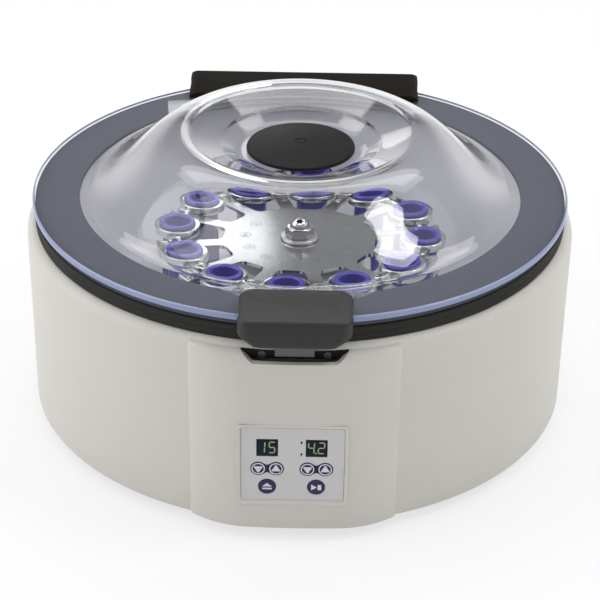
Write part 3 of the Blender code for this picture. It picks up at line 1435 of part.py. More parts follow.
def main():
    clear_scene()
    materials = make_materials()
    build_casing(materials["white_plastic"])
    build_base_plate(materials["dark_metal"])
    build_feet(materials["rubber"])
    build_chamber_wall(materials["grey_plastic"])
    build_chamber_floor(materials["grey_plastic"])
    build_seal(materials["rubber"])
    build_latch_insert(materials["black_plastic"])
    build_drive(materials)
    build_panel(materials)
    build_inlet(materials["black_plastic"])
    build_rocker(materials["black_plastic"])
    build_hinge_bracket(materials["black_plastic"])
    build_hinge_pin(materials["satin_steel"])

    lid_hinge = add_empty("lid_hinge", (0.0, HINGE_AXIS_DISTANCE, HINGE_AXIS_Z))
    hang_on(
        lid_hinge,
        build_lid_dome(materials["clear_plastic"]),
        build_gasket(materials["rubber"]),
        build_cap(materials["black_plastic"]),
        build_handle(materials["black_plastic"]),
        build_strap(materials["satin_steel"]),
        build_hinge_cover(materials["black_plastic"]),
    )

    rotor_axis = add_empty("rotor_axis", (0.0, 0.0, ROTOR_PLATE_TOP_Z))
    hang_on(
        rotor_axis,
        build_shaft(materials["satin_steel"]),
        build_rotor_plate(materials["satin_steel"]),
        build_washer(materials["satin_steel"]),
        build_nut(materials["chrome"]),
    )
    build_buckets(materials, rotor_axis)


main()
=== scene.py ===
"""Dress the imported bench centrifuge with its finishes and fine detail.

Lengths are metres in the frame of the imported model: the origin lies on the rotor's axis on the
bench, +Z is up and the front faces -Y.
"""

import logging
import math
from collections.abc import Iterable, Sequence
from dataclasses import dataclass
from enum import Enum

import bmesh
import bpy
from mathutils import Matrix, Vector


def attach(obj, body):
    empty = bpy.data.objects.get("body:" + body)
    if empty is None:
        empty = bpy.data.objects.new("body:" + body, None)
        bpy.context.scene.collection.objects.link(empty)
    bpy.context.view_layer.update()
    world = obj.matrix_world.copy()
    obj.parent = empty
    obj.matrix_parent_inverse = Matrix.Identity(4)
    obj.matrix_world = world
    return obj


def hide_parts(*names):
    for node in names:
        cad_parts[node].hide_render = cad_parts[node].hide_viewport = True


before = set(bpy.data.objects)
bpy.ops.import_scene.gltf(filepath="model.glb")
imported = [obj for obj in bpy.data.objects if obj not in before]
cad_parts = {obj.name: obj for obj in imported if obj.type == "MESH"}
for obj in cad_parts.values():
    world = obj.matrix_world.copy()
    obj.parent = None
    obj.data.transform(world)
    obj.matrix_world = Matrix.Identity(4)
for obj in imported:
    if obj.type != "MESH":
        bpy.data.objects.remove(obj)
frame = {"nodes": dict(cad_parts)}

LOG = logging.getLogger("bench_centrifuge")
Point = tuple[float, float]
Place = tuple[float, float, float]
Colour = tuple[float, float, float]
Solid = bmesh.types.BMesh
Mesh = bpy.types.Mesh
Object = bpy.types.Object
Node = bpy.types.Node
Socket = bpy.types.NodeSocket
Tree = bpy.types.NodeTree

TURN = 2 * math.pi
QUARTER = math.pi / 2
TINY = 1e-6
STRAIGHT_HALF = 1.5  # half of a corner's angle, past which it counts as straight
SIDE_SHARE = 0.45  # most of a side that a rounding may take
MITRE = 0.5  # least cosine in a mitre, so that a sharp bend gets no spike
SHARP_ANGLE = 32.0  # smallest turn, in degrees, that stays sharp on most pieces
WHITE_LIGHT = (1.0, 1.0, 1.0, 1.0)


# Outlines


def rounded(points: Sequence[Point], radius: float, steps: int = 4) -> list[Point]:
    """Round every corner of a closed outline.

    Args:
        points: corners in order.
        radius: radius of each rounding, cut down where a side is short.
        steps: straight pieces in each rounding.

    Returns:
        The outline with arcs for corners.
    """
    outline: list[Point] = []
    count = len(points)
    for index, corner in enumerate(points):
        here = Vector(corner)
        back = Vector(points[index - 1]) - here
        ahead = Vector(points[(index + 1) % count]) - here
        half = back.angle(ahead) / 2
        if half > STRAIGHT_HALF or radius < TINY:
            outline.append(corner)
            continue
        setback = min(radius / math.tan(half), SIDE_SHARE * back.length, SIDE_SHARE * ahead.length)
        start = here + back.normalized() * setback
        end = here + ahead.normalized() * setback
        middle = (back.normalized() + ahead.normalized()).normalized()
        centre = here + middle * setback / math.cos(half)
        first, last = start - centre, end - centre
        turn = first.angle_signed(last)
        for step in range(steps + 1):
            angle = -turn * step / steps
            cos, sin = math.cos(angle), math.sin(angle)
            outline.append(
                (centre.x + first.x * cos - first.y * sin, centre.y + first.x * sin + first.y * cos)
            )
    return outline


def rectangle(low: Point, high: Point) -> list[Point]:
    """Return the corners of a rectangle, anticlockwise."""
    return [low, (high[0], low[1]), high, (low[0], high[1])]


def disc(radius: float, steps: int, centre: Point = (0.0, 0.0)) -> list[Point]:
    """Return a circle.

    Args:
        radius: its radius.
        steps: straight pieces in it.
        centre: its middle.

    Returns:
        Its points, anticlockwise.
    """
    turn = TURN / steps
    return [
        (centre[0] + radius * math.cos(turn * i), centre[1] + radius * math.sin(turn * i))
        for i in range(steps)
    ]


def arc(centre: Point, radius: float, start: float, sweep: float, steps: int) -> list[Point]:
    """Return an arc.

    Args:
        centre: its middle.
        radius: its radius.
        start: angle of the first point.
        sweep: angle from the first point to the last.
        steps: straight pieces in it.

    Returns:
        Its points, with both ends.
    """
    angles = [start + sweep * step / steps for step in range(steps + 1)]
    return [(centre[0] + radius * math.cos(a), centre[1] + radius * math.sin(a)) for a in angles]


def capsule(length: float, width: float, steps: int) -> list[Point]:
    """Return an oval with straight sides, lying along x.

    Args:
        length: end to end.
        width: across the straight sides.
        steps: straight pieces in each round end.

    Returns:
        The outline, anticlockwise.
    """
    reach = (length - width) / 2
    outline = []
    for side, start in ((1, -QUARTER), (-1, QUARTER)):
        outline += arc((side * reach, 0.0), width / 2, start, math.pi, steps)
    return outline


def thickened(path: Sequence[Point], wall: float) -> list[Point]:
    """Close an open path with a copy of it moved sideways.

    Args:
        path: points in order.
        wall: distance to the copy, which lies on the right of the path.

    Returns:
        A closed outline.
    """
    moved = []
    for index, point in enumerate(path):
        here = Vector(point)
        steps = []
        if index:
            steps.append(here - Vector(path[index - 1]))
        if index + 1 < len(path):
            steps.append(Vector(path[index + 1]) - here)
        normals = [Vector((step.y, -step.x)).normalized() for step in steps]
        middle = sum(normals, Vector((0.0, 0.0))).normalized()
        moved.append(tuple(here + middle * wall / max(middle.dot(normals[0]), MITRE)))
    return list(path) + moved[::-1]


# Frames to build in


def front_frame(distance: float) -> Matrix:
    """Return a frame whose u, v and depth run along +X, +Z and -Y from y = -distance."""
    axes = Matrix(((1, 0, 0), (0, 0, -1), (0, 1, 0))).to_4x4()
    return Matrix.Translation((0.0, -distance, 0.0)) @ axes


def back_frame(distance: float) -> Matrix:
    """Return a frame whose u, v and depth run along -X, +Z and +Y from y = distance."""
    axes = Matrix(((-1, 0, 0), (0, 0, 1), (0, 1, 0))).to_4x4()
    return Matrix.Translation((0.0, distance, 0.0)) @ axes


def side_frame(start: float) -> Matrix:
    """Return a frame whose u, v and depth run along +Y, +Z and +X from x = start."""
    axes = Matrix(((0, 0, 1), (1, 0, 0), (0, 1, 0))).to_4x4()
    return Matrix.Translation((start, 0.0, 0.0)) @ axes


def raised(height: float) -> Matrix:
    """Return a frame whose u, v and depth run along +X, +Y and +Z from z = height."""
    return Matrix.Translation((0.0, 0.0, height))


# Meshes


def prism(outline: Sequence[Point], depth: float, place: Matrix) -> Solid:
    """Push a flat outline along the third axis of a frame.

    Args:
        outline: corners as (u, v).
        depth: how far the outline is pushed.
        place: frame of u, v and depth.

    Returns:
        The solid.
    """
    builder = bmesh.new()
    face = builder.faces.new([builder.verts.new((u, v, 0.0)) for u, v in outline])
    pushed = bmesh.ops.extrude_face_region(builder, geom=[face])
    moved = [item for item in pushed["geom"] if isinstance(item, bmesh.types.BMVert)]
    bmesh.ops.translate(builder, verts=moved, vec=(0.0, 0.0, depth))
    bmesh.ops.transform(builder, matrix=place, verts=builder.verts)
    return builder


def block(low: Place, high: Place) -> Solid:
    """Return a box between two corners."""
    outline = rectangle((low[0], low[1]), (high[0], high[1]))
    return prism(outline, high[2] - low[2], raised(low[2]))


def lofted(rings: Sequence[Sequence[Place]], loop: bool = False) -> Solid:
    """Join rings that have the same number of points.

    Args:
        rings: rings of points in order.
        loop: join the last ring to the first, in place of closing both with a face.

    Returns:
        The closed surface.
    """
    builder = bmesh.new()
    rows = [[builder.verts.new(point) for point in ring] for ring in rings]
    pairs = list(zip(rows, rows[1:]))
    if loop:
        pairs.append((rows[-1], rows[0]))
    else:
        builder.faces.new(rows[0][::-1])
        builder.faces.new(rows[-1])
    for row, above in pairs:
        for index in range(len(row)):
            after = (index + 1) % len(row)
            builder.faces.new((row[index], row[after], above[after], above[index]))
    return builder


def soften(builder: Solid, width: float, steps: int, angle: float = 30.0) -> None:
    """Round the sharp edges of a solid.

    Args:
        builder: the solid.
        width: radius of the rounding.
        steps: straight pieces in it.
        angle: smallest turn, in degrees, that counts as sharp.
    """
    bmesh.ops.recalc_face_normals(builder, faces=builder.faces)
    limit = math.radians(angle)
    sharp = [e for e in builder.edges if e.is_manifold and e.calc_face_angle() > limit]
    bmesh.ops.bevel(builder, geom=sharp, offset=width, segments=steps, profile=0.5, affect="EDGES")


def gather(first: Solid, *others: Solid) -> Solid:
    """Put separate solids into the first one's mesh.

    Args:
        first: the solid that takes the others in.
        others: the solids, which are freed.

    Returns:
        The first solid.
    """
    for other in others:
        spare = bpy.data.meshes.new("spare")
        other.to_mesh(spare)
        other.free()
        first.from_mesh(spare)
        bpy.data.meshes.remove(spare)
    return first


def opened(*meshes: Mesh) -> Solid:
    """Return a solid that holds copies of meshes.

    Args:
        meshes: the meshes.

    Returns:
        The solid.
    """
    builder = bmesh.new()
    for mesh in meshes:
        builder.from_mesh(mesh)
    return builder


def to_mesh(name: str, builder: Solid) -> Mesh:
    """Turn a solid into a mesh with outward faces.

    Args:
        name: name of the mesh.
        builder: the solid, which is freed.

    Returns:
        The mesh.
    """
    bmesh.ops.remove_doubles(builder, verts=builder.verts, dist=TINY)
    bmesh.ops.recalc_face_normals(builder, faces=builder.faces)
    mesh = bpy.data.meshes.new(name)
    builder.to_mesh(mesh)
    builder.free()
    return mesh


def linked(name: str, data: bpy.types.ID) -> Object:
    """Return a new object in the scene.

    Args:
        name: its name.
        data: its mesh, text, lamp or camera.

    Returns:
        The object.
    """
    made = bpy.data.objects.new(name, data)
    bpy.context.scene.collection.objects.link(made)
    return made


def evaluated(piece: Object) -> Mesh:
    """Return a plain mesh of a piece as its modifiers leave it."""
    graph = bpy.context.evaluated_depsgraph_get()
    return bpy.data.meshes.new_from_object(piece.evaluated_get(graph))


def shade(mesh: Mesh, angle: float = SHARP_ANGLE) -> None:
    """Shade a mesh smooth, apart from edges that turn by more than an angle in degrees."""
    mesh.shade_smooth()
    mesh.set_sharp_from_angle(angle=math.radians(angle))


def to_piece(name: str, mesh: Mesh, angle: float = SHARP_ANGLE) -> Object:
    """Link a mesh as a smooth piece whose sharp edges stay sharp.

    Args:
        name: name of the piece.
        mesh: its mesh, in world places.
        angle: smallest turn, in degrees, that stays sharp.

    Returns:
        The piece.
    """
    shade(mesh, angle)
    return linked(name, mesh)


class Cut(Enum):
    """What carving does with its solids."""

    AWAY = "DIFFERENCE"
    JOIN = "UNION"
    KEEP = "INTERSECT"


def carve(piece: Object, *tools: Solid, cut: Cut = Cut.AWAY) -> None:
    """Cut a piece with solids, or join them to it; no modifier is left on it.

    Args:
        piece: the piece.
        tools: the solids, which are freed.
        cut: whether they are cut away, joined, or keep only what lies inside them.
    """
    helpers = []
    for index, tool in enumerate(tools):
        helper = linked(f"tool_{index}", to_mesh("tool", tool))
        modifier = piece.modifiers.new(helper.name, "BOOLEAN")
        modifier.operation = cut.value
        modifier.object = helper
        modifier.solver = "EXACT"
        helpers.append(helper)
    mesh = evaluated(piece)
    piece.modifiers.clear()
    piece.data = mesh
    shade(mesh)
    for helper in helpers:
        bpy.data.objects.remove(helper)


# Node trees


class Bench:
    """Adds nodes to one tree and joins them."""

    def __init__(self, tree: Tree) -> None:
        """Keep the tree."""
        self.tree = tree

    def node(self, kind: str, **inputs: object) -> Node:
        """Add a node.

        Args:
            kind: type name of the node.
            inputs: values or sockets for its inputs, by name with _ for a space, or by number
                as in0 and in1; names that the node has as settings are set as such.

        Returns:
            The node.
        """
        made = self.tree.nodes.new(kind)
        for name, value in inputs.items():
            if hasattr(made, name):
                setattr(made, name, value)
        for name, value in inputs.items():
            if hasattr(made, name):
                continue
            key = int(name[2:]) if name[:2] == "in" and name[2:].isdigit() else name
            socket = made.inputs[key if isinstance(key, int) else key.replace("_", " ")]
            if isinstance(value, Socket):
                self.tree.links.new(value, socket)
            else:
                socket.default_value = value
        return made

    def math(self, operation: str, *values: object) -> Socket:
        """Add a Math node and return its result."""
        inputs = {f"in{index}": value for index, value in enumerate(values)}
        return self.node("ShaderNodeMath", operation=operation, **inputs).outputs[0]

    def rays(self, *kinds: str) -> Socket:
        """Tell rays of some kinds from the others.

        Args:
            kinds: outputs of Light Path.

        Returns:
            1 for a ray of any of the kinds, and 0 for the others.
        """
        path = self.node("ShaderNodeLightPath")
        found = path.outputs[kinds[0]]
        for kind in kinds[1:]:
            found = self.math("MAXIMUM", found, path.outputs[kind])
        return found

    def surface(self, output: str, share: Socket, first: Node, second: Node) -> None:
        """Send a mix of two shaders to the tree's output.

        Args:
            output: name of the output node.
            share: how much of the second shader shows.
            first: one shader.
            second: the other shader.
        """
        mix = self.node("ShaderNodeMixShader", in0=share, in1=first.outputs[0], in2=second.outputs[0])
        self.tree.links.new(mix.outputs[0], self.tree.nodes[output].inputs["Surface"])


class Pattern(Enum):
    """Geometry Nodes trees that repeat or turn an input shape."""

    LATHE = "lathe"
    RING = "ring_of_copies"
    ROW = "row_of_copies"


class Workshop:
    """Builds each Geometry Nodes tree once and runs it."""

    trees: dict[Pattern, Tree] = {}

    @classmethod
    def tree(cls, pattern: Pattern) -> Tree:
        """Return the tree for a pattern, built on first use.

        Args:
            pattern: the pattern.

        Returns:
            Its tree.
        """
        if pattern not in cls.trees:
            tree = bpy.data.node_groups.new(pattern.value, "GeometryNodeTree")
            for way in ("OUTPUT", "INPUT"):
                tree.interface.new_socket("Geometry", in_out=way, socket_type="NodeSocketGeometry")
            makers = {Pattern.LATHE: cls._lathe, Pattern.RING: cls._ring, Pattern.ROW: cls._row}
            makers[pattern](Bench(tree))
            cls.trees[pattern] = tree
        return cls.trees[pattern]

    @staticmethod
    def _open(bench: Bench, **inputs: str) -> Node:
        """Add a tree's named inputs, with the finish as the last.

        Args:
            bench: the tree.
            inputs: kinds of the inputs, by name with _ for a space.

        Returns:
            The node that gives the inputs' values.
        """
        for name, kind in (inputs | {"Finish": "Material"}).items():
            label = name.replace("_", " ")
            bench.tree.interface.new_socket(label, in_out="INPUT", socket_type=f"NodeSocket{kind}")
        return bench.node("NodeGroupInput")

    @staticmethod
    def _close(bench: Bench, start: Node, shape: Socket) -> None:
        """Finish a tree with Realize Instances and Set Material.

        Args:
            bench: the tree.
            start: the node that gives the inputs' values.
            shape: what the tree has made.
        """
        real = bench.node("GeometryNodeRealizeInstances", Geometry=shape)
        dressed = bench.node(
            "GeometryNodeSetMaterial", Geometry=real.outputs[0], Material=start.outputs["Finish"]
        )
        bench.node("NodeGroupOutput", Geometry=dressed.outputs[0])

    @classmethod
    def _lathe(cls, bench: Bench) -> None:
        """Turn the input's points, a closed outline of x and z, around the Z axis.

        Args:
            bench: the tree.
        """
        start = cls._open(bench, Segments="Int")
        points = bench.node("GeometryNodeAttributeDomainSize", Geometry=start.outputs[0])
        count = points.outputs["Point Count"]
        rows = bench.math("ADD", count, 1.0)
        grid = bench.node(
            "GeometryNodeMeshGrid",
            Vertices_X=bench.math("ADD", start.outputs["Segments"], 1.0),
            Vertices_Y=rows,
        )
        index = bench.node("GeometryNodeInputIndex").outputs[0]
        column = bench.math("FLOOR", bench.math("DIVIDE", index, rows))
        row = bench.math("MODULO", bench.math("MODULO", index, rows), count)
        position = bench.node("GeometryNodeInputPosition").outputs[0]
        sample = bench.node(
            "GeometryNodeSampleIndex",
            data_type="FLOAT_VECTOR",
            Geometry=start.outputs[0],
            Value=position,
            Index=row,
        )
        parts = bench.node("ShaderNodeSeparateXYZ", Vector=sample.outputs[0])
        share = bench.math("DIVIDE", column, start.outputs["Segments"])
        angle = bench.math("MULTIPLY", share, TURN)
        turned = bench.node(
            "ShaderNodeCombineXYZ",
            X=bench.math("MULTIPLY", parts.outputs[0], bench.math("COSINE", angle)),
            Y=bench.math("MULTIPLY", parts.outputs[0], bench.math("SINE", angle)),
            Z=parts.outputs[2],
        )
        moved = bench.node(
            "GeometryNodeSetPosition", Geometry=grid.outputs[0], Position=turned.outputs[0]
        )
        merged = bench.node("GeometryNodeMergeByDistance", Geometry=moved.outputs[0], Distance=TINY)
        cls._close(bench, start, merged.outputs[0])

    @classmethod
    def _ring(cls, bench: Bench) -> None:
        """Repeat the input around the Z axis.

        Args:
            bench: the tree.
        """
        start = cls._open(bench, Count="Int", Start_Angle="Float")
        line = bench.node("GeometryNodeMeshLine", Count=start.outputs["Count"], Offset=(0.0, 0.0, 0.0))
        index = bench.node("GeometryNodeInputIndex").outputs[0]
        share = bench.math("DIVIDE", index, start.outputs["Count"])
        angle = bench.math("MULTIPLY_ADD", share, TURN, start.outputs["Start Angle"])
        turn = bench.node("ShaderNodeCombineXYZ", Z=angle)
        copies = bench.node(
            "GeometryNodeInstanceOnPoints",
            Points=line.outputs[0],
            Instance=start.outputs[0],
            Rotation=turn.outputs[0],
        )
        cls._close(bench, start, copies.outputs[0])

    @classmethod
    def _row(cls, bench: Bench) -> None:
        """Repeat the input along a line.

        Args:
            bench: the tree.
        """
        start = cls._open(bench, Count="Int", Step="Vector")
        line = bench.node(
            "GeometryNodeMeshLine", Count=start.outputs["Count"], Offset=start.outputs["Step"]
        )
        copies = bench.node(
            "GeometryNodeInstanceOnPoints", Points=line.outputs[0], Instance=start.outputs[0]
        )
        cls._close(bench, start, copies.outputs[0])

    @classmethod
    def run(cls, pattern: Pattern, mesh: Mesh, finish: "Finish", **inputs: object) -> Mesh:
        """Run a tree on a mesh.

        Args:
            pattern: which tree.
            mesh: the input shape.
            finish: what the result is made of.
            inputs: the tree's other inputs, by name with _ for a space.

        Returns:
            A plain mesh.
        """
        tree = cls.tree(pattern)
        helper = linked(pattern.value, mesh)
        modifier = helper.modifiers.new(pattern.value, "NODES")
        modifier.node_group = tree
        values = {name.replace("_", " "): value for name, value in inputs.items()}
        values["Finish"] = finish.material()
        for item in tree.interface.items_tree:
            if item.item_type == "SOCKET" and item.in_out == "INPUT" and item.name in values:
                modifier[item.identifier] = values[item.name]
        result = evaluated(helper)
        while result.materials and result.materials[0] is None:
            result.materials.pop(index=0)
        helper.modifiers.clear()
        bpy.data.objects.remove(helper)
        return result


def turned(name: str, outline: Sequence[Point], finish: "Finish", segments: int) -> Mesh:
    """Turn a closed outline of (radius, height) around the Z axis.

    Args:
        name: name of the mesh.
        outline: the section.
        finish: what it is made of.
        segments: facets around the axis.

    Returns:
        The mesh, with outward faces.
    """
    section = bpy.data.meshes.new(name)
    section.from_pydata([(radius, 0.0, height) for radius, height in outline], [], [])
    mesh = Workshop.run(Pattern.LATHE, section, finish, Segments=segments)
    builder = opened(mesh)
    bmesh.ops.dissolve_degenerate(builder, dist=TINY / 10, edges=builder.edges)
    bmesh.ops.recalc_face_normals(builder, faces=builder.faces)
    builder.to_mesh(mesh)
    builder.free()
    mesh.name = name
    return mesh


# Finishes


class Effect(Enum):
    """Shader node groups that several finishes share."""

    GRAIN = "fine_grain"
    MOTTLE = "soft_mottle"
    BRUSHED = "brushed_lines"


class Effects:
    """Builds each shared shader group once."""

    STRETCH = (0.04, 1.0, 1.0)
    groups: dict[Effect, Tree] = {}

    @classmethod
    def group(cls, effect: Effect) -> Tree:
        """Return the group for an effect, built on first use.

        Args:
            effect: the effect.

        Returns:
            Its group.
        """
        if effect not in cls.groups:
            tree = bpy.data.node_groups.new(effect.value, "ShaderNodeTree")
            makers = {Effect.GRAIN: cls._grain, Effect.MOTTLE: cls._mottle, Effect.BRUSHED: cls._brushed}
            makers[effect](Bench(tree))
            cls.groups[effect] = tree
        return cls.groups[effect]

    @staticmethod
    def _open(bench: Bench, *outputs: str) -> dict[str, Socket]:
        """Add the inputs that every effect has, and its outputs.

        Args:
            bench: the group.
            outputs: their names.

        Returns:
            Sockets of the place and the scale, as a noise texture takes them.
        """
        interface = bench.tree.interface
        for name, kind in (("Vector", "NodeSocketVector"), ("Scale", "NodeSocketFloat")):
            interface.new_socket(name, in_out="INPUT", socket_type=kind)
        for name in outputs:
            interface.new_socket(name, in_out="OUTPUT", socket_type="NodeSocketFloat")
        start = bench.node("NodeGroupInput")
        return {name: start.outputs[name] for name in ("Vector", "Scale")}

    @classmethod
    def _grain(cls, bench: Bench) -> None:
        """Pebbled skin of moulded plastic.

        Args:
            bench: the group.
        """
        inputs = cls._open(bench, "Height")
        pebbles = bench.node("ShaderNodeTexNoise", Detail=3.0, **inputs)
        bench.node("NodeGroupOutput", Height=pebbles.outputs["Fac"])

    @classmethod
    def _mottle(cls, bench: Bench) -> None:
        """Slow change over a surface, as from handling and moulding.

        Args:
            bench: the group.
        """
        inputs = cls._open(bench, "Value")
        cloud = bench.node("ShaderNodeTexNoise", Detail=5.0, Roughness=0.6, **inputs)
        value = bench.node("ShaderNodeMapRange", Value=cloud.outputs["Fac"], From_Min=0.3, From_Max=0.7)
        bench.node("NodeGroupOutput", Value=value.outputs[0])

    @classmethod
    def _brushed(cls, bench: Bench) -> None:
        """Fine lines along the local X axis of the vector.

        Args:
            bench: the group.
        """
        inputs = cls._open(bench, "Height", "Streaks")
        stretched = bench.node(
            "ShaderNodeVectorMath", operation="MULTIPLY", in0=inputs["Vector"], in1=cls.STRETCH
        )
        inputs["Vector"] = stretched.outputs[0]
        lines = bench.node("ShaderNodeTexNoise", Detail=4.0, **inputs)
        bench.node("NodeGroupOutput", Height=lines.outputs["Fac"], Streaks=lines.outputs["Fac"])


@dataclass(frozen=True)
class Finish:
    """A surface with a colour, a gloss and a fine relief."""

    name: str
    colour: Colour
    roughness: float
    metallic: float = 0.0
    coat: float = 0.0
    grain_scale: float = 900.0
    grain_depth: float = 0.00002
    variation: float = 0.03
    specular: float = 0.5

    def material(self) -> bpy.types.Material:
        """Return the material, built on first use.

        Returns:
            The material, whose nodes follow the finish.
        """
        known = bpy.data.materials.get(self.name)
        if known:
            return known
        material = bpy.data.materials.new(self.name)
        material.use_nodes = True
        bench = Bench(material.node_tree)
        shader = material.node_tree.nodes["Principled BSDF"]
        shader.inputs["Metallic"].default_value = self.metallic
        shader.inputs["Coat Weight"].default_value = self.coat
        shader.inputs["Coat Roughness"].default_value = 0.08
        shader.inputs["Specular IOR Level"].default_value = self.specular
        self.dress(bench, shader)
        material.diffuse_color = (*self.colour, 1.0)
        return material

    def effect(self, bench: Bench, effect: Effect, scale: float) -> Node:
        """Place a shared effect on object coordinates.

        Args:
            bench: the material's nodes.
            effect: the effect.
            scale: its features for each metre.

        Returns:
            The effect's node.
        """
        coordinates = bench.node("ShaderNodeTexCoord").outputs["Object"]
        return bench.node(
            "ShaderNodeGroup", node_tree=Effects.group(effect), Vector=coordinates, Scale=scale
        )

    def dress(self, bench: Bench, shader: Node) -> None:
        """Join the colour, gloss and relief to the shader.

        Args:
            bench: the material's nodes.
            shader: its main shader.
        """
        mottle = self.effect(bench, Effect.MOTTLE, 14.0).outputs["Value"]
        grain = self.effect(bench, Effect.GRAIN, self.grain_scale)
        self.tint(bench, shader, mottle)
        self.gloss(bench, shader, mottle)
        self.relief(bench, shader, grain.outputs["Height"])

    def tint(self, bench: Bench, shader: Node, mask: Socket) -> None:
        """Vary the colour a little by a mask.

        Args:
            bench: the material's nodes.
            shader: its main shader.
            mask: the mask, from 0 to 1.
        """
        mix = bench.node(
            "ShaderNodeMix",
            data_type="RGBA",
            Factor=mask,
            in6=(*[c * (1 - self.variation) for c in self.colour], 1.0),
            in7=(*[min(c * (1 + self.variation), 1.0) for c in self.colour], 1.0),
        )
        bench.tree.links.new(mix.outputs[2], shader.inputs["Base Color"])

    def gloss(self, bench: Bench, shader: Node, mask: Socket) -> None:
        """Vary the roughness a little by a mask.

        Args:
            bench: the material's nodes.
            shader: its main shader.
            mask: the mask, from 0 to 1.
        """
        spread = bench.node(
            "ShaderNodeMapRange",
            Value=mask,
            To_Min=self.roughness * 0.88,
            To_Max=min(self.roughness * 1.12, 1.0),
        )
        bench.tree.links.new(spread.outputs[0], shader.inputs["Roughness"])

    def relief(self, bench: Bench, shader: Node, height: Socket) -> None:
        """Raise the surface by a height.

        Args:
            bench: the material's nodes.
            shader: its main shader.
            height: the height, from 0 to 1.
        """
        bump = bench.node("ShaderNodeBump", Strength=0.5, Distance=self.grain_depth, Height=height)
        bench.tree.links.new(bump.outputs[0], shader.inputs["Normal"])


@dataclass(frozen=True)
class Metal(Finish):
    """Metal with brushed lines along one axis."""

    metallic: float = 1.0
    grain_scale: float = 2600.0
    grain_depth: float = 0.000006
    variation: float = 0.05

    def dress(self, bench: Bench, shader: Node) -> None:
        """Join the brushed lines to the shader.

        Args:
            bench: the material's nodes.
            shader: its main shader.
        """
        lines = self.effect(bench, Effect.BRUSHED, self.grain_scale)
        self.tint(bench, shader, lines.outputs["Streaks"])
        self.gloss(bench, shader, lines.outputs["Streaks"])
        self.relief(bench, shader, lines.outputs["Height"])


@dataclass(frozen=True)
class Clear(Finish):
    """Clear moulded plastic that lets lamp light through."""

    index: float = 1.45
    passing: Colour = (0.98, 0.98, 0.985)

    def dress(self, bench: Bench, shader: Node) -> None:
        """Make the shader clear, and let shadow and diffuse rays pass it.

        Args:
            bench: the material's nodes.
            shader: its main shader.
        """
        shader.inputs["Base Color"].default_value = (*self.colour, 1.0)
        shader.inputs["Transmission Weight"].default_value = 1.0
        shader.inputs["IOR"].default_value = self.index
        mottle = self.effect(bench, Effect.MOTTLE, 9.0).outputs["Value"]
        self.gloss(bench, shader, mottle)
        self.relief(bench, shader, mottle)
        passes = bench.rays("Is Shadow Ray", "Is Diffuse Ray")
        see_through = bench.node("ShaderNodeBsdfTransparent", Color=(*self.passing, 1.0))
        bench.surface("Material Output", passes, shader, see_through)


@dataclass(frozen=True)
class Glow(Finish):
    """Lit segment of a display."""

    strength: float = 1.0

    def dress(self, bench: Bench, shader: Node) -> None:
        """Light the segment, a little unevenly.

        Args:
            bench: the material's nodes.
            shader: its main shader.
        """
        mottle = self.effect(bench, Effect.MOTTLE, 600.0).outputs["Value"]
        self.tint(bench, shader, mottle)
        mix = shader.inputs["Base Color"].links[0].from_socket
        bench.tree.links.new(mix, shader.inputs["Emission Color"])
        shader.inputs["Emission Strength"].default_value = self.strength
        shader.inputs["Roughness"].default_value = self.roughness


@dataclass(frozen=True)
class Tinted(Finish):
    """Coloured plastic that lets some light in."""

    passing: float = 0.25

    def dress(self, bench: Bench, shader: Node) -> None:
        """Add transmission to the moulded look.

        Args:
            bench: the material's nodes.
            shader: its main shader.
        """
        super().dress(bench, shader)
        shader.inputs["Transmission Weight"].default_value = self.passing
        shader.inputs["IOR"].default_value = 1.46


WHITE = Finish("white_moulding", (0.64, 0.62, 0.575), 0.4, grain_scale=1100.0, variation=0.015)
BLACK = Finish("black_moulding", (0.012, 0.011, 0.011), 0.5, grain_scale=1300.0, specular=0.12)
BROWN = Finish("hinge_moulding", (0.009, 0.007, 0.005), 0.6, grain_scale=1300.0, specular=0.05)
GRIP = Finish("handle_moulding", (0.022, 0.022, 0.021), 0.46, grain_scale=1300.0, specular=0.35)
RUBBER = Finish("black_rubber", (0.026, 0.026, 0.023), 0.7, grain_depth=0.000008, specular=0.2)
RING = Finish("lid_ring_rubber", (0.085, 0.09, 0.12), 0.7, grain_depth=0.00001, specular=0.05)
BOWL = Finish("bowl_coating", (0.9, 0.9, 0.905), 0.42, grain_scale=800.0, grain_depth=0.000008)
FILM = Finish("key_film", (0.62, 0.61, 0.62), 0.4, grain_scale=2500.0, grain_depth=0.000006)
NAVY = Finish("panel_navy", (0.031, 0.029, 0.098), 0.4, grain_depth=0.000006, specular=0.2)
INK = Finish("panel_white", (0.72, 0.72, 0.76), 0.45, grain_depth=0.000004, variation=0.02)
DARK_INK = Finish("panel_black", (0.02, 0.02, 0.03), 0.45, grain_depth=0.000004, specular=0.2)
WINDOW = Finish("display_window", (0.006, 0.009, 0.022), 0.25, grain_depth=0.000002, specular=0.15)
LIT = Glow("display_segments", (0.27, 0.36, 0.18), 0.4, strength=0.28)
BLUE = Tinted("blue_sleeve_plastic", (0.075, 0.058, 0.47), 0.32, coat=0.3, grain_scale=900.0)
CLEAR = Clear("clear_lid", (0.97, 0.98, 1.0), 0.02, grain_depth=0.000004)
EDGE = Finish("clear_lid_edge", (0.27, 0.31, 0.5), 0.3, coat=0.3, grain_depth=0.000004)
STEEL = Metal("carrier_steel", (0.58, 0.58, 0.58), 0.3)
DULL_STEEL = Metal("strap_steel", (0.11, 0.11, 0.11), 0.4)
PLATE = Metal("rotor_plate_steel", (0.56, 0.56, 0.56), 0.17, grain_depth=0.000004)
CHROME = Metal("polished_metal", (0.7, 0.7, 0.71), 0.1, grain_depth=0.000002)
ETCHED = Finish("etched_mark", (0.2, 0.2, 0.21), 0.5, grain_depth=0.000004)
GUNMETAL = Finish("dark_paint", (0.05, 0.05, 0.055), 0.45, grain_scale=900.0)
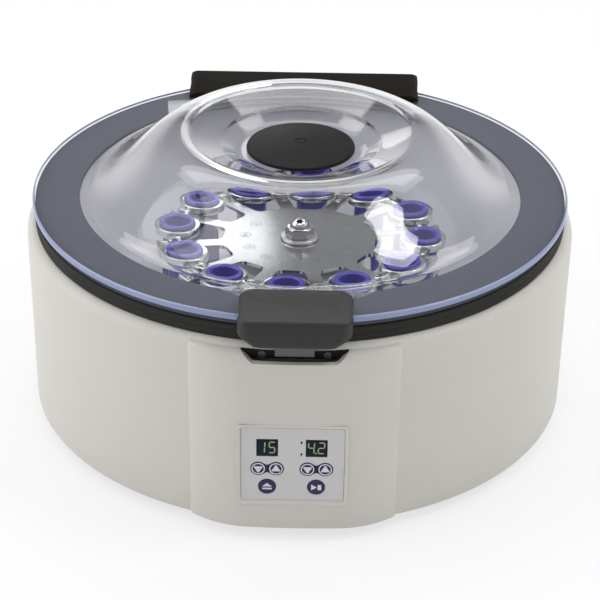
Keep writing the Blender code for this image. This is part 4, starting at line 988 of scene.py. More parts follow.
BOARD = Finish("circuit_board", (0.02, 0.12, 0.05), 0.45, grain_scale=1200.0)


# Pieces on their bodies


@dataclass(frozen=True)
class Piece:
    """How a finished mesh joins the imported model."""

    body: str
    slot: str
    nodes: tuple[str, ...] = ()

    def attach(self, piece: Object) -> None:
        """Ride a piece on its body and hide what it stands for.

        Args:
            piece: the piece.
        """
        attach(piece, self.body)
        if self.nodes:
            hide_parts(*self.nodes)
        LOG.info("%s rides on %s: %d faces", piece.name, self.body, len(piece.data.polygons))


def blank(name: str, solid: Solid, finish: Finish) -> Object:
    """Make a piece that is still to be carved and attached.

    Args:
        name: name of the piece.
        solid: its solid, which is freed.
        finish: what it is made of.

    Returns:
        The piece.
    """
    mesh = to_mesh(name, solid)
    mesh.materials.append(finish.material())
    return to_piece(name, mesh)


def make(name: str, shape: Solid | Mesh, finish: Finish, join: Piece, angle: float = SHARP_ANGLE) -> None:
    """Make a finished piece.

    Args:
        name: name of the piece.
        shape: its solid or mesh, in world places.
        finish: what it is made of.
        join: how it joins the model.
        angle: smallest turn, in degrees, that stays sharp.
    """
    mesh = to_mesh(name, shape) if isinstance(shape, Solid) else shape
    if not mesh.materials:
        mesh.materials.append(finish.material())
    join.attach(to_piece(name, mesh, angle))


@dataclass
class ScrewRow:
    """Row of screw heads on a flat face of the casing."""

    name: str
    finish: Finish
    outline: Sequence[Point]
    facets: int
    count: int
    pitch: float

    def build(self, place: Matrix, *slots: Solid) -> None:
        """Build the heads.

        Args:
            place: frame of the first head.
            slots: what is cut out of each head.
        """
        head = turned("screw_head", self.outline, self.finish, self.facets)
        head = to_piece("screw_head", head)
        carve(head, *slots)
        head.data.transform(place)
        step = (self.pitch, 0, 0)
        row = Workshop.run(Pattern.ROW, head.data, self.finish, Count=self.count, Step=step)
        bpy.data.objects.remove(head)
        make(self.name, row, self.finish, Piece("housing", "satin_steel"))


# Sub-assemblies


@dataclass
class Casing:
    """White drum with its front boss and rounded shoulder."""

    radius: float = 0.185
    base_radius: float = 0.184
    base_z: float = 0.008
    top_z: float = 0.1387
    wall: float = 0.003
    shoulder: float = 0.0075
    mouth_radius: float = 0.17
    foot_round: float = 0.0025
    face: float = 0.1895
    flat_half_width: float = 0.034
    boss_half_width: float = 0.0655
    boss_step: float = 0.0016
    boss_edge: float = 0.06
    boss_fall: Point = (0.0085, 0.018)
    boss_drop: float = 0.0026
    columns: int = 190

    def drum(self, height: float) -> float:
        """Return the drum's outer radius at a height."""
        share = (height - self.base_z) / (self.top_z - self.shoulder - self.base_z)
        return self.base_radius + (self.radius - self.base_radius) * min(share, 1.0)

    def side_radius(self, height: float, inset: float = 0.0) -> float:
        """Return the radius without the boss; above the drum it follows the shoulder.

        Args:
            height: the height.
            inset: how far inside the outer face.

        Returns:
            The radius.
        """
        rise = height - (self.top_z - self.shoulder)
        if rise <= 0:
            return self.drum(height) - inset
        bend = self.shoulder - inset
        return self.radius - self.shoulder + math.sqrt(max(bend**2 - rise**2, 0.0))

    def boss_ends(self) -> tuple[float, float]:
        """Return the angles from the front at which the boss's flat and the boss end."""
        end = math.asin(self.boss_half_width / self.radius)
        return math.atan2(self.flat_half_width, self.face), end

    def reach(self, angle: float, height: float) -> float:
        """Return how far the boss stands out.

        Args:
            angle: angle from the front.
            height: the height.

        Returns:
            The distance past the drum's face.
        """
        flat_end, boss_end = self.boss_ends()
        angle = abs(angle)
        depth = self.top_z - self.boss_drop - height
        if angle >= boss_end - TINY or depth <= 0:
            return 0.0
        radius = self.side_radius(height)
        if angle <= flat_end:
            full = self.face / math.cos(angle) - radius
        else:
            edge = self.face / math.cos(flat_end) - radius
            share = (angle - flat_end) / (boss_end - flat_end)
            step = self.boss_step * min((1 - share) / self.boss_edge, 1.0) ** 0.5
            full = (edge - self.boss_step) * math.cos(share * QUARTER) + step
        out, fall = self.boss_fall
        share = min(depth / fall, 1.0)
        limit = out * math.sqrt(1 - (1 - share) ** 2)
        return (full**-4 + limit**-4) ** -0.25

    def angles(self) -> list[float]:
        """Set the casing's columns, closer together across the boss.

        Returns:
            Their angles.
        """
        flat_end, boss_end = self.boss_ends()
        half = [flat_end * step / 8 for step in range(8)]
        half += [flat_end + (boss_end - flat_end) * step / 18 for step in range(18)]
        half += [
            boss_end - (boss_end - flat_end) * self.boss_edge * share
            for share in (0.75, 0.5, 0.25, 0.08, 0.0)
        ]
        boss = [-angle for angle in reversed(half[1:])] + half
        rest = TURN - 2 * boss_end
        boss += [boss_end + rest * step / self.columns for step in range(1, self.columns)]
        return [angle - QUARTER for angle in boss]

    def ring(self, height: float, inset: float = 0.0) -> list[Place]:
        """Return the casing's outline at a height.

        Args:
            height: the height.
            inset: how far inside the outer face.

        Returns:
            The outline's points.
        """
        points = []
        for angle in self.angles():
            out = self.reach(angle + QUARTER, height + inset)
            radius = self.side_radius(height, inset) + out
            points.append((radius * math.cos(angle), radius * math.sin(angle), height))
        return points

    def circle(self, radius: float, height: float) -> list[Place]:
        """Return a circle with the casing's columns."""
        return [(radius * math.cos(a), radius * math.sin(a), height) for a in self.angles()]

    def heights(self, steps: int, shoulder: float) -> list[float]:
        """Return the rings' heights from the boss's top rounding to the top.

        Args:
            steps: rings in each of the two roundings.
            shoulder: radius of the shoulder's rounding.

        Returns:
            Heights, closer together where the boss ends.
        """
        bend, top = self.top_z - self.shoulder, self.top_z - self.boss_drop
        top -= self.shoulder - shoulder
        fall = self.boss_fall[1]
        levels = [top - fall * (1 - step / steps) ** 2 for step in range(1, steps + 1)]
        first = math.asin((top - bend) / shoulder)
        rest = QUARTER - first
        turns = [first + rest * step / steps for step in range(1, steps + 1)]
        return levels + [bend + shoulder * math.sin(turn) for turn in turns]

    def build(self) -> None:
        """Build the drum with its panel window, latch notch and inlet window."""
        start = self.top_z - self.boss_drop - self.boss_fall[1]
        turn = QUARTER / 4
        outer = [
            self.ring(
                self.base_z + self.foot_round * (1 - math.cos(turn * step)),
                self.foot_round * (1 - math.sin(turn * step)),
            )
            for step in range(5)
        ]
        outer += [self.ring(self.base_z + (start - self.base_z) * step / 6) for step in range(1, 7)]
        outer += [self.ring(height) for height in self.heights(14, self.shoulder)]
        mouth = [
            self.circle(self.mouth_radius, self.top_z),
            self.circle(self.mouth_radius, self.top_z - self.wall),
        ]
        levels = self.heights(4, self.shoulder - self.wall)[::-1]
        inner = [self.ring(height, self.wall) for height in levels]
        inner += [self.ring(start - self.wall, self.wall), self.ring(self.base_z, self.wall)]
        body = lofted(outer + mouth + inner, loop=True)
        piece = blank("casing_shell", body, WHITE)
        carve(piece, self.panel_window(), LatchInsert().opening(), PowerModule().window())
        Piece("housing", "white_plastic", ("outer_casing",)).attach(piece)

    def panel_window(self) -> Solid:
        """Return the opening for the panel and its frame."""
        return prism(Panel().outline(1.0, 0.0, 0.0022), 0.012, front_frame(0.183))


@dataclass
class LatchInsert:
    """Black insert in the casing's front edge, with its two screws."""

    top_half_width: float = 0.033
    foot_half_width: float = 0.0255
    top_z: float = 0.1362
    height: float = 0.0062
    face: float = 0.1822
    back: float = 0.1768
    screw_offset: float = 0.0198

    def outline(self, margin: float, lift: float) -> list[Point]:
        """Return the tapered outline with rounded lower corners.

        Args:
            margin: how far it grows at the sides and the foot.
            lift: how far it grows at the top.

        Returns:
            The outline.
        """
        low = self.top_z - self.height - margin
        top = self.top_z + lift
        points = [
            (-self.foot_half_width - margin, low), (self.foot_half_width + margin, low),
            (self.top_half_width + margin, top), (-self.top_half_width - margin, top),
        ]
        return rounded(points, 0.0035, 6)[:14] + points[2:]

    def opening(self) -> Solid:
        """Return the notch that the insert fills."""
        return prism(self.outline(0.0002, 0.0), 0.02, front_frame(self.back - 0.0003))

    def build(self) -> None:
        """Build the insert and its screws."""
        body = prism(self.outline(0.0, 0.0), self.face - self.back, front_frame(self.back))
        soften(body, 0.0005, 2, 40.0)
        make("latch_recess", body, BLACK, Piece("housing", "black_plastic", ("latch_insert",)))
        outline = rounded([(0.0, -0.0012), (0.0024, -0.0012), (0.0024, 0.0006), (0.0, 0.0009)], 0.0003)
        screws = ScrewRow("latch_screws", GUNMETAL, outline, 24, 2, 2 * self.screw_offset)
        spot = Matrix.Translation((-self.screw_offset, 0.0, self.top_z - self.height / 2))
        slot = block((-0.0021, -0.00035, 0.0004), (0.0021, 0.00035, 0.002))
        screws.build(spot @ front_frame(self.face), slot)


class Mark(Enum):
    """White marks on the keys."""

    DOWN = "down"
    UP = "up"
    OPEN = "open"
    START = "start"


@dataclass
class Panel:
    """Control panel: film in a bevelled frame, displays, keys and their marks."""

    centre_x: float = -0.0005
    half_width: float = 0.032
    height: float = 0.0532
    bottom_z: float = 0.0306
    face: float = 0.1887
    casing_face: float = 0.1895
    back: float = 0.1857
    frame_side: float = 0.002
    frame_top: float = 0.0018
    frame_foot: float = 0.003
    group_centre: float = -0.001
    group_offset: float = 0.0153
    display_width: float = 0.0131
    display_height: float = 0.0124
    display_rise: float = 0.0388
    arrow_spread: float = 0.0055
    arrow_rise: float = 0.0234
    arrow_radius: float = 0.0043
    round_rise: float = 0.01
    round_radius: float = 0.0055
    key_face: float = 0.1891
    key_back: float = 0.1862
    play: float = 0.0002
    cut_depth: float = 0.01
    mark: float = 0.00012
    mark_sink: float = 0.0001
    digit_width: float = 0.0036
    digit_height: float = 0.0078
    digit_pitch: float = 0.0063
    readings: tuple[str, str] = ("15", "4.2")

    MARKS = {
        Mark.DOWN: [[(0.0, -0.0032), (0.003, 0.0017), (-0.003, 0.0017)]],
        Mark.UP: [[(-0.003, -0.0017), (0.003, -0.0017), (0.0, 0.0032)]],
        Mark.OPEN: [
            [(-0.003, 0.0002), (0.003, 0.0002), (0.0, 0.0028)],
            rectangle((-0.003, -0.0019), (0.003, -0.0008)),
        ],
        Mark.START: [
            [(-0.0031, 0.0022), (-0.0031, -0.0022), (0.0004, 0.0)],
            rectangle((0.001, -0.0019), (0.0032, 0.0019)),
        ],
    }

    def build(self) -> None:
        """Build every piece of the panel."""
        self.build_frame()
        self.build_film()
        self.build_marks()
        for group, side, reading in zip(("time", "speed"), (-1, 1), self.readings):
            self.build_display(group, side, reading)
            for mark in (Mark.DOWN, Mark.UP):
                self.build_key(f"{group}_{mark.value}_key", mark)
        for mark in (Mark.OPEN, Mark.START):
            self.build_key(f"{mark.value}_key", mark)

    def group_x(self, side: int) -> float:
        """Return the middle of the left (-1) or right (1) group."""
        return self.group_centre + side * self.group_offset

    def outline(self, share: float, extra: float, corner: float) -> list[Point]:
        """Return a rounded outline around the panel.

        Args:
            share: how much of the frame it takes in, from 0 to 1.
            extra: a margin all round.
            corner: radius of the corners.

        Returns:
            The outline.
        """
        side = self.half_width + self.frame_side * share + extra
        low = (self.centre_x - side, self.bottom_z - self.frame_foot * share - extra)
        top = self.bottom_z + self.height + self.frame_top * share + extra
        return rounded(rectangle(low, (self.centre_x + side, top)), corner, 6)

    def build_frame(self) -> None:
        """Build the sloping frame around the film, with a low lip outside it."""
        steps = (
            (0.0, 0.0002, 0.0009, self.back), (0.0, 0.0002, 0.0009, self.face - 0.0001),
            (0.4, 0.0, 0.0014, self.casing_face + 0.00005),
            (0.85, 0.0, 0.0022, self.casing_face + 0.00045),
            (1.0, 0.0004, 0.0026, self.casing_face + 0.00035),
            (1.0, 0.0007, 0.0028, self.casing_face - 0.0002),
            (1.0, -0.0001, 0.0021, self.casing_face - 0.0006), (1.0, -0.0001, 0.0021, self.back),
        )
        rings = [
            [(u, -distance, v) for u, v in self.outline(share, extra, corner)]
            for share, extra, corner, distance in steps
        ]
        make("panel_frame", lofted(rings, loop=True), WHITE, Piece("housing", "white_plastic"))

    def build_film(self) -> None:
        """Build the film with its display windows and key holes."""
        depth = self.face - self.back
        body = prism(self.outline(0.0, 0.0, 0.0008), depth, front_frame(self.back))
        piece = blank("panel_film", body, FILM)
        holes = [self.display_outline(side, self.play) for side in (-1, 1)]
        holes += [disc(radius + self.play, 48, centre) for centre, radius in self.key_places().values()]
        start = front_frame(self.back - 0.003)
        carve(piece, *[prism(hole, self.cut_depth, start) for hole in holes])
        Piece("housing", "panel_film", ("control_panel",)).attach(piece)

    def key_places(self) -> dict[str, tuple[Point, float]]:
        """Set out the keys.

        Returns:
            Each key's centre and radius, by its name.
        """
        places = {}
        for group, side in (("time", -1), ("speed", 1)):
            for kind, shift in (("down", -1), ("up", 1)):
                across = self.group_x(side) + shift * self.arrow_spread
                centre = (across, self.bottom_z + self.arrow_rise)
                places[f"{group}_{kind}_key"] = (centre, self.arrow_radius)
        for name, side in (("open_key", -1), ("start_key", 1)):
            centre = (self.group_x(side), self.bottom_z + self.round_rise)
            places[name] = (centre, self.round_radius)
        return places

    def display_outline(self, side: int, grow: float) -> list[Point]:
        """Return a display's rectangle.

        Args:
            side: -1 for the left display, 1 for the right one.
            grow: a margin all round.

        Returns:
            The outline.
        """
        middle, level = self.group_x(side), self.bottom_z + self.display_rise
        across, up = self.display_width / 2 + grow, self.display_height / 2 + grow
        return rectangle((middle - across, level - up), (middle + across, level + up))

    def build_marks(self) -> None:
        """Build the navy links behind the arrow keys and the small lozenges."""
        place = front_frame(self.face)
        shapes = []
        for side in (-1, 1):
            middle, level = self.group_x(side), self.bottom_z + self.arrow_rise
            reach = self.arrow_spread * 0.36
            waist = [reach * step / 4 for step in range(-4, 5)]
            heights = [0.0028 + 0.0009 * (across / reach) ** 2 for across in waist]
            lower = [(middle + u, level - v) for u, v in zip(waist, heights)]
            upper = [(middle + u, level + v) for u, v in zip(waist, heights)]
            shapes.append(prism(lower + upper[::-1], self.mark, place))
            for shift in (-1, 1):
                centre = (middle + shift * self.arrow_spread, level)
                shapes.append(self.band(centre, self.arrow_radius + 0.0002, 0.005, place))
        make("panel_links", gather(*shapes), NAVY, Piece("housing", "key_blue"))
        lozenge = [(0.0, -0.0012), (0.0008, 0.0), (0.0, 0.0012), (-0.0008, 0.0)]
        start = (0.0049, self.bottom_z + self.display_rise - 0.0045)
        mesh = to_mesh("lozenge", prism(lozenge, self.mark, place))
        mesh.transform(Matrix.Translation((start[0], 0.0, start[1])))
        row = Workshop.run(Pattern.ROW, mesh, DARK_INK, Count=2, Step=(0.0, 0.0, 0.0087))
        make("panel_lozenges", row, DARK_INK, Piece("housing", "black_plastic"))

    def band(self, centre: Point, inner: float, outer: float, place: Matrix) -> Solid:
        """Return a thin flat ring.

        Args:
            centre: middle as (x, z).
            inner: inner radius.
            outer: outer radius.
            place: frame of the surface it lies on.

        Returns:
            The ring.
        """
        rings = []
        for radius, depth in ((inner, 0), (outer, 0), (outer, self.mark), (inner, self.mark)):
            rings.append([(u, v, depth) for u, v in disc(radius, 48, centre)])
        ring = lofted(rings, loop=True)
        bmesh.ops.transform(ring, matrix=place, verts=ring.verts)
        return ring

    def build_display(self, name: str, side: int, reading: str) -> None:
        """Build a display's dark window and its lit segments.

        Args:
            name: name of the group.
            side: -1 for the left group, 1 for the right one.
            reading: what it shows.
        """
        glass = prism(
            self.display_outline(side, 0.0), self.face - 0.0002 - self.back, front_frame(self.back)
        )
        soften(glass, 0.0002, 2)
        join = Piece("housing", "display_glass", (f"{name}_display",))
        make(f"{name}_window", glass, WINDOW, join)
        width, height, pitch = self.digit_width, self.digit_height, self.digit_pitch
        level = self.bottom_z + self.display_rise + 0.0002
        digits = reading.replace(".", "")
        start = self.group_x(side) - pitch * (len(digits) - 1) / 2 - 0.0002
        shapes = []
        for index, digit in enumerate(digits):
            centre = (start + pitch * index, level)
            shapes += SegmentDigit(centre, width, height).shapes(digit, self.face)
        if "." in reading:
            spot = (start + pitch * (reading.index(".") - 1) + pitch * 0.46, level - height / 2)
            shapes.append(prism(disc(0.0005, 12, spot), self.mark, front_frame(self.face - 0.0002)))
        make(f"{name}_segments", gather(*shapes), LIT, Piece("housing", "display_glass"))

    def key_body(self, centre: Point, radius: float) -> Mesh:
        """Return a round key with a softly rounded face.

        Args:
            centre: middle as (x, z).
            radius: its radius.

        Returns:
            The key's mesh.
        """
        depth = self.key_face - self.key_back
        points = [(0.0, 0.0), (radius, 0.0), (radius, depth - 0.00015), (0.0, depth)]
        outline = [points[0]] + rounded(points, 0.0003, 4)[5:15] + [points[3]]
        mesh = turned("key", outline, NAVY, 48)
        spot = Matrix.Translation((centre[0], 0.0, centre[1]))
        mesh.transform(spot @ front_frame(self.key_back))
        return mesh

    def build_key(self, name: str, mark: Mark) -> None:
        """Build a key with its white mark; an arrow key has a ring around a soft triangle.

        Args:
            name: name of the key.
            mark: its mark.
        """
        centre, radius = self.key_places()[name]
        body = Piece(name, "key_blue", (name,))
        make(f"{name}_button", self.key_body(centre, radius), NAVY, body)
        place = front_frame(self.key_face - self.mark_sink)
        outlines = [[(centre[0] + u, centre[1] + v) for u, v in form] for form in self.MARKS[mark]]
        shapes = []
        if mark in (Mark.DOWN, Mark.UP):
            shapes.append(self.band(centre, radius - 0.0008, radius - 0.0001, place))
            outlines = [rounded(outline, 0.0004, 3) for outline in outlines]
        shapes += [prism(outline, self.mark + self.mark_sink, place) for outline in outlines]
        make(f"{name}_mark", gather(*shapes), INK, Piece(name, "panel_film"))


@dataclass
class SegmentDigit:
    """One seven-segment digit."""

    centre: Point
    width: float
    height: float
    stroke: float = 0.00068
    slant: float = 0.06

    LIT_SEGMENTS = {"1": "bc", "2": "abged", "4": "fgbc", "5": "afgcd"}

    def shapes(self, digit: str, face: float) -> list[Solid]:
        """Return the lit segments of a digit as thin bars.

        Args:
            digit: the character.
            face: distance of the panel's face.

        Returns:
            One solid for each segment.
        """
        x, z = self.centre
        w, h = self.width / 2, self.height / 2
        ends = {
            "a": ((-w, h), (w, h)), "b": ((w, h), (w, 0)), "c": ((w, 0), (w, -h)),
            "d": ((-w, -h), (w, -h)), "e": ((-w, 0), (-w, -h)), "f": ((-w, h), (-w, 0)),
            "g": ((-w, 0), (w, 0)),
        }
        made = []
        for key in self.LIT_SEGMENTS[digit]:
            (u0, v0), (u1, v1) = ends[key]
            along = Vector((u1 - u0, v1 - v0))
            length = along.length - 0.0004
            bar = capsule(length, self.stroke, 3)
            angle = math.atan2(along.y, along.x)
            cos, sin = math.cos(angle), math.sin(angle)
            middle = ((u0 + u1) / 2, (v0 + v1) / 2)
            outline = []
            for u, v in bar:
                across = middle[0] + u * cos - v * sin
                up = middle[1] + u * sin + v * cos
                outline.append((x + across + up * self.slant, z + up))
            made.append(prism(outline, 0.0001, front_frame(face - 0.0002)))
        return made


@dataclass
class Chamber:
    """Bowl inside the casing and the rubber rim around its mouth."""

    flange_radius: float = 0.1752
    inner_radius: float = 0.167
    top_z: float = 0.1405
    floor_z: float = 0.036
    wall: float = 0.0014
    corner: float = 0.012
    lip: float = 0.003
    tower_radius: float = 0.05
    tower_height: float = 0.063
    tower_taper: float = 0.004
    hole_radius: float = 0.01
    seal_radius: float = 0.1793
    seal_inner: float = 0.169
    seal_low: float = 0.139
    seal_base: float = 0.1408
    seal_top: float = 0.1493
    segments: int = 144

    def build(self) -> None:
        """Build the bowl and the rim."""
        tower_top = self.floor_z + self.tower_height
        path = [
            (self.hole_radius, tower_top), (self.tower_radius - self.tower_taper, tower_top),
            (self.tower_radius, tower_top - self.tower_taper),
            (self.tower_radius + self.tower_taper, self.floor_z),
        ]
        centre = (self.inner_radius - self.corner, self.floor_z + self.corner)
        path += arc(centre, self.corner, -QUARTER, QUARTER, 8)
        lip = self.lip
        path.append((self.inner_radius, self.top_z - lip))
        path += arc((self.inner_radius + lip, self.top_z - lip), lip, math.pi, -QUARTER, 4)[1:]
        path.append((self.flange_radius, self.top_z))
        outline = thickened(path, self.wall)
        mesh = turned("bowl", outline, BOWL, self.segments)
        join = Piece("housing", "grey_plastic", ("chamber_wall", "chamber_floor"))
        make("bowl", mesh, BOWL, join)
        self.build_seal()

    def build_seal(self) -> None:
        """Build the rubber rim with its two beads."""
        outer, inner = self.seal_radius, self.seal_inner
        points = [
            (inner, self.seal_base), (outer - 0.0037, self.seal_base), (outer - 0.0037, self.seal_low),
            (outer - 0.0004, self.seal_low), (outer, self.seal_base + 0.0012),
            (outer - 0.0009, self.seal_base + 0.0031), (outer, self.seal_base + 0.0046),
            (outer - 0.0006, self.seal_top - 0.0012), (outer - 0.003, self.seal_top),
            (inner + 0.002, self.seal_top - 0.0003), (inner, self.seal_top - 0.003),
        ]
        mesh = turned("rim", rounded(points, 0.0011, 4), RUBBER, self.segments)
        make("rubber_rim", mesh, RUBBER, Piece("housing", "rubber", ("rim_seal",)))


@dataclass
class Rotor:
    """Rotor plate with its arms and place numbers, the washer and the nut."""

    top_z: float = 0.116
    thickness: float = 0.003
    disc_radius: float = 0.052
    arm_width: float = 0.0095
    arm_reach: float = 0.097
    corner: float = 0.0058
    tab_width: float = 0.011
    tab_drop: float = 0.011
    tab_thickness: float = 0.0025
    places: int = 12
    first: float = math.radians(-95.0)
    circle: float = 0.085
    pivot_z: float = 0.1182
    saddle_height: float = 0.0052
    saddle_length: float = 0.009
    saddle_width: float = 0.0088
    pin_reach: float = 0.0213
    pin_room: float = 0.002
    bore: float = 0.0043
    number_radius: float = 0.0377

    def build(self) -> None:
        """Build the plate and its fastening."""
        self.build_plate()
        self.build_numbers()
        self.build_fastening()

    def plate_outline(self) -> list[Point]:
        """Return the disc with arms; the roots of the windows between them are round.

        Returns:
            The plate's outline.
        """
        step = TURN / self.places
        half = self.arm_width / 2
        outline: list[Point] = []
        for place in range(self.places):
            arm = self.first + step * (place + 0.5)
            along = Vector((math.cos(arm), math.sin(arm)))
            across = Vector((-along.y, along.x))
            for side, reach in ((-1, self.arm_reach), (1, self.arm_reach)):
                outline.append(tuple(along * reach + across * side * half))
            window = arm + step / 2
            middle = Vector((math.cos(window), math.sin(window)))
            side_way = Vector((-middle.y, middle.x))
            outline += self.window_root(middle, side_way, step, half)
        return outline

    def window_root(self, middle: Vector, side_way: Vector, step: float, half: float) -> list[Point]:
        """Return the rounded inner end of a window, from one arm to the next.

        Args:
            middle: direction of the window.
            side_way: direction across it.
            step: angle between arms.
            half: half an arm's width.

        Returns:
            Points of the rounding.
        """
        root = self.disc_radius
        lean = step / 2
        width = root * math.tan(lean) - half / math.cos(lean)
        run = 3 * self.corner
        corners = [
            middle * (root + run) - side_way * (width + run * math.tan(lean)),
            middle * root - side_way * width,
            middle * root + side_way * width,
            middle * (root + run) + side_way * (width + run * math.tan(lean)),
        ]
        return rounded([tuple(corner) for corner in corners], self.corner, 8)[9:27]

    def build_plate(self) -> None:
        """Build the plate with the arms' bent ends and the grooved saddles."""
        outline = self.plate_outline()
        low = self.top_z - self.thickness
        piece = blank("rotor_disc", prism(outline, self.thickness, raised(low)), PLATE)
        step = TURN / self.places
        saddle_at = self.circle / math.cos(step / 2) - self.pin_reach * math.tan(step / 4) / 2
        inner, near = self.arm_reach - 0.002, self.arm_reach - 0.0004
        far, foot = near + self.tab_thickness, self.top_z - self.tab_drop
        tab = [(inner, low), (near, low), (near, foot), (far, foot)]
        tab += [(far, self.top_z - 0.0001), (inner, self.top_z - 0.0001)]
        tab = rounded(tab, 0.0014, 5)
        tab_frame = Matrix(((1, 0, 0), (0, 0, 1), (0, 1, 0))).to_4x4()
        tab_solid = prism(
            tab, self.tab_width, Matrix.Translation((0.0, -self.tab_width / 2, 0.0)) @ tab_frame
        )
        saddle = block(
            (saddle_at - self.saddle_length / 2, -self.saddle_width / 2, self.top_z - 0.0008),
            (saddle_at + self.saddle_length / 2, self.saddle_width / 2, self.top_z + self.saddle_height),
        )
        soften(saddle, 0.0006, 2)
        fittings = self.repeated(gather(tab_solid, saddle), self.first + step / 2)
        groove = block(
            (self.circle - self.pin_room, -self.pin_reach - 0.0004, self.pivot_z - self.pin_room),
            (self.circle + self.pin_room, self.pin_reach + 0.0004, self.pivot_z + 0.01),
        )
        grooves = self.repeated(groove, self.first)
        hole = prism(disc(self.bore, 48), 0.02, raised(low - 0.008))
        carve(piece, fittings, cut=Cut.JOIN)
        carve(piece, grooves, hole)
        Piece("rotor", "satin_steel", ("rotor_plate",)).attach(piece)

    def repeated(self, solid: Solid, start: float) -> Solid:
        """Repeat a solid at each place of the rotor.

        Args:
            solid: the solid at angle zero.
            start: angle of the first copy.

        Returns:
            All the copies.
        """
        shape = to_mesh("fitting", solid)
        ring = Workshop.run(Pattern.RING, shape, PLATE, Count=self.places, Start_Angle=start)
        return opened(ring)

    def build_numbers(self) -> None:
        """Build the etched circles and the place numbers inside the windows' roots."""
        step = TURN / self.places
        spot = (self.number_radius, 0.0)
        low, high = self.top_z - 0.0001, self.top_z + 0.00004
        rings = [
            [(x, y, z) for x, y in disc(radius, 36, spot)]
            for radius, z in ((0.0037, low), (0.004, low), (0.004, high), (0.0037, high))
        ]
        circles = self.repeated(lofted(rings, loop=True), self.first)
        make("place_circles", circles, ETCHED, Piece("rotor", "satin_steel"))
        mesh = bpy.data.meshes.new("place_numbers")
        builder = bmesh.new()
        for place in range(self.places):
            text = bpy.data.curves.new("place_number", "FONT")
            text.body = str(place + 1)
            text.size = 0.005
            text.align_x = text.align_y = "CENTER"
            text.extrude = 0.00006
            label = linked("place_number", text)
            drawn = evaluated(label)
            angle = self.first + step * place
            drawn.transform(
                Matrix.Rotation(angle, 4, "Z")
                @ Matrix.Translation((self.number_radius, 0.0, self.top_z))
                @ Matrix.Rotation(QUARTER, 4, "Z")
            )
            builder.from_mesh(drawn)
            bpy.data.objects.remove(label)
        builder.to_mesh(mesh)
        builder.free()
        make("place_numbers", mesh, ETCHED, Piece("rotor", "satin_steel"))

    def build_fastening(self) -> None:
        """Build the washer and the domed nut."""
        low = self.top_z + 0.0003
        washer = rounded(rectangle((self.bore, low), (0.013, low + 0.002)), 0.0004, 3)
        mesh = turned("washer", washer, STEEL, 64)
        make("hub_washer", mesh, STEEL, Piece("rotor", "satin_steel", ("rotor_washer",)))
        seat = low + 0.0023
        width, tall, dome_radius = 0.0175, 0.0075, 0.0068
        corner = width / math.sqrt(3) + 0.0001
        hexagon = prism(disc(width / math.sqrt(3), 6), tall, raised(seat))
        cone = [
            (0.0, seat), (width / 2 + 0.0001, seat), (corner, seat + 0.0008),
            (corner, seat + tall - 0.0009), (width / 2 - 0.0003, seat + tall), (0.0, seat + tall),
        ]
        nut = blank("domed_nut", hexagon, CHROME)
        carve(nut, opened(turned("nut_cone", cone, CHROME, 48)), cut=Cut.KEEP)
        dome = [(0.0, seat + tall - 0.002), (dome_radius, seat + tall - 0.002)]
        dome += arc((0.0, seat + tall), dome_radius, 0.0, QUARTER, 10)[:-1]
        dome.append((0.0, seat + tall + dome_radius))
        carve(nut, opened(turned("nut_dome", dome, CHROME, 48)), cut=Cut.JOIN)
        bore = prism(disc(self.bore, 32), 0.0115, raised(seat - 0.002))
        carve(nut, bore)
        Piece("rotor", "chrome", ("rotor_nut",)).attach(nut)


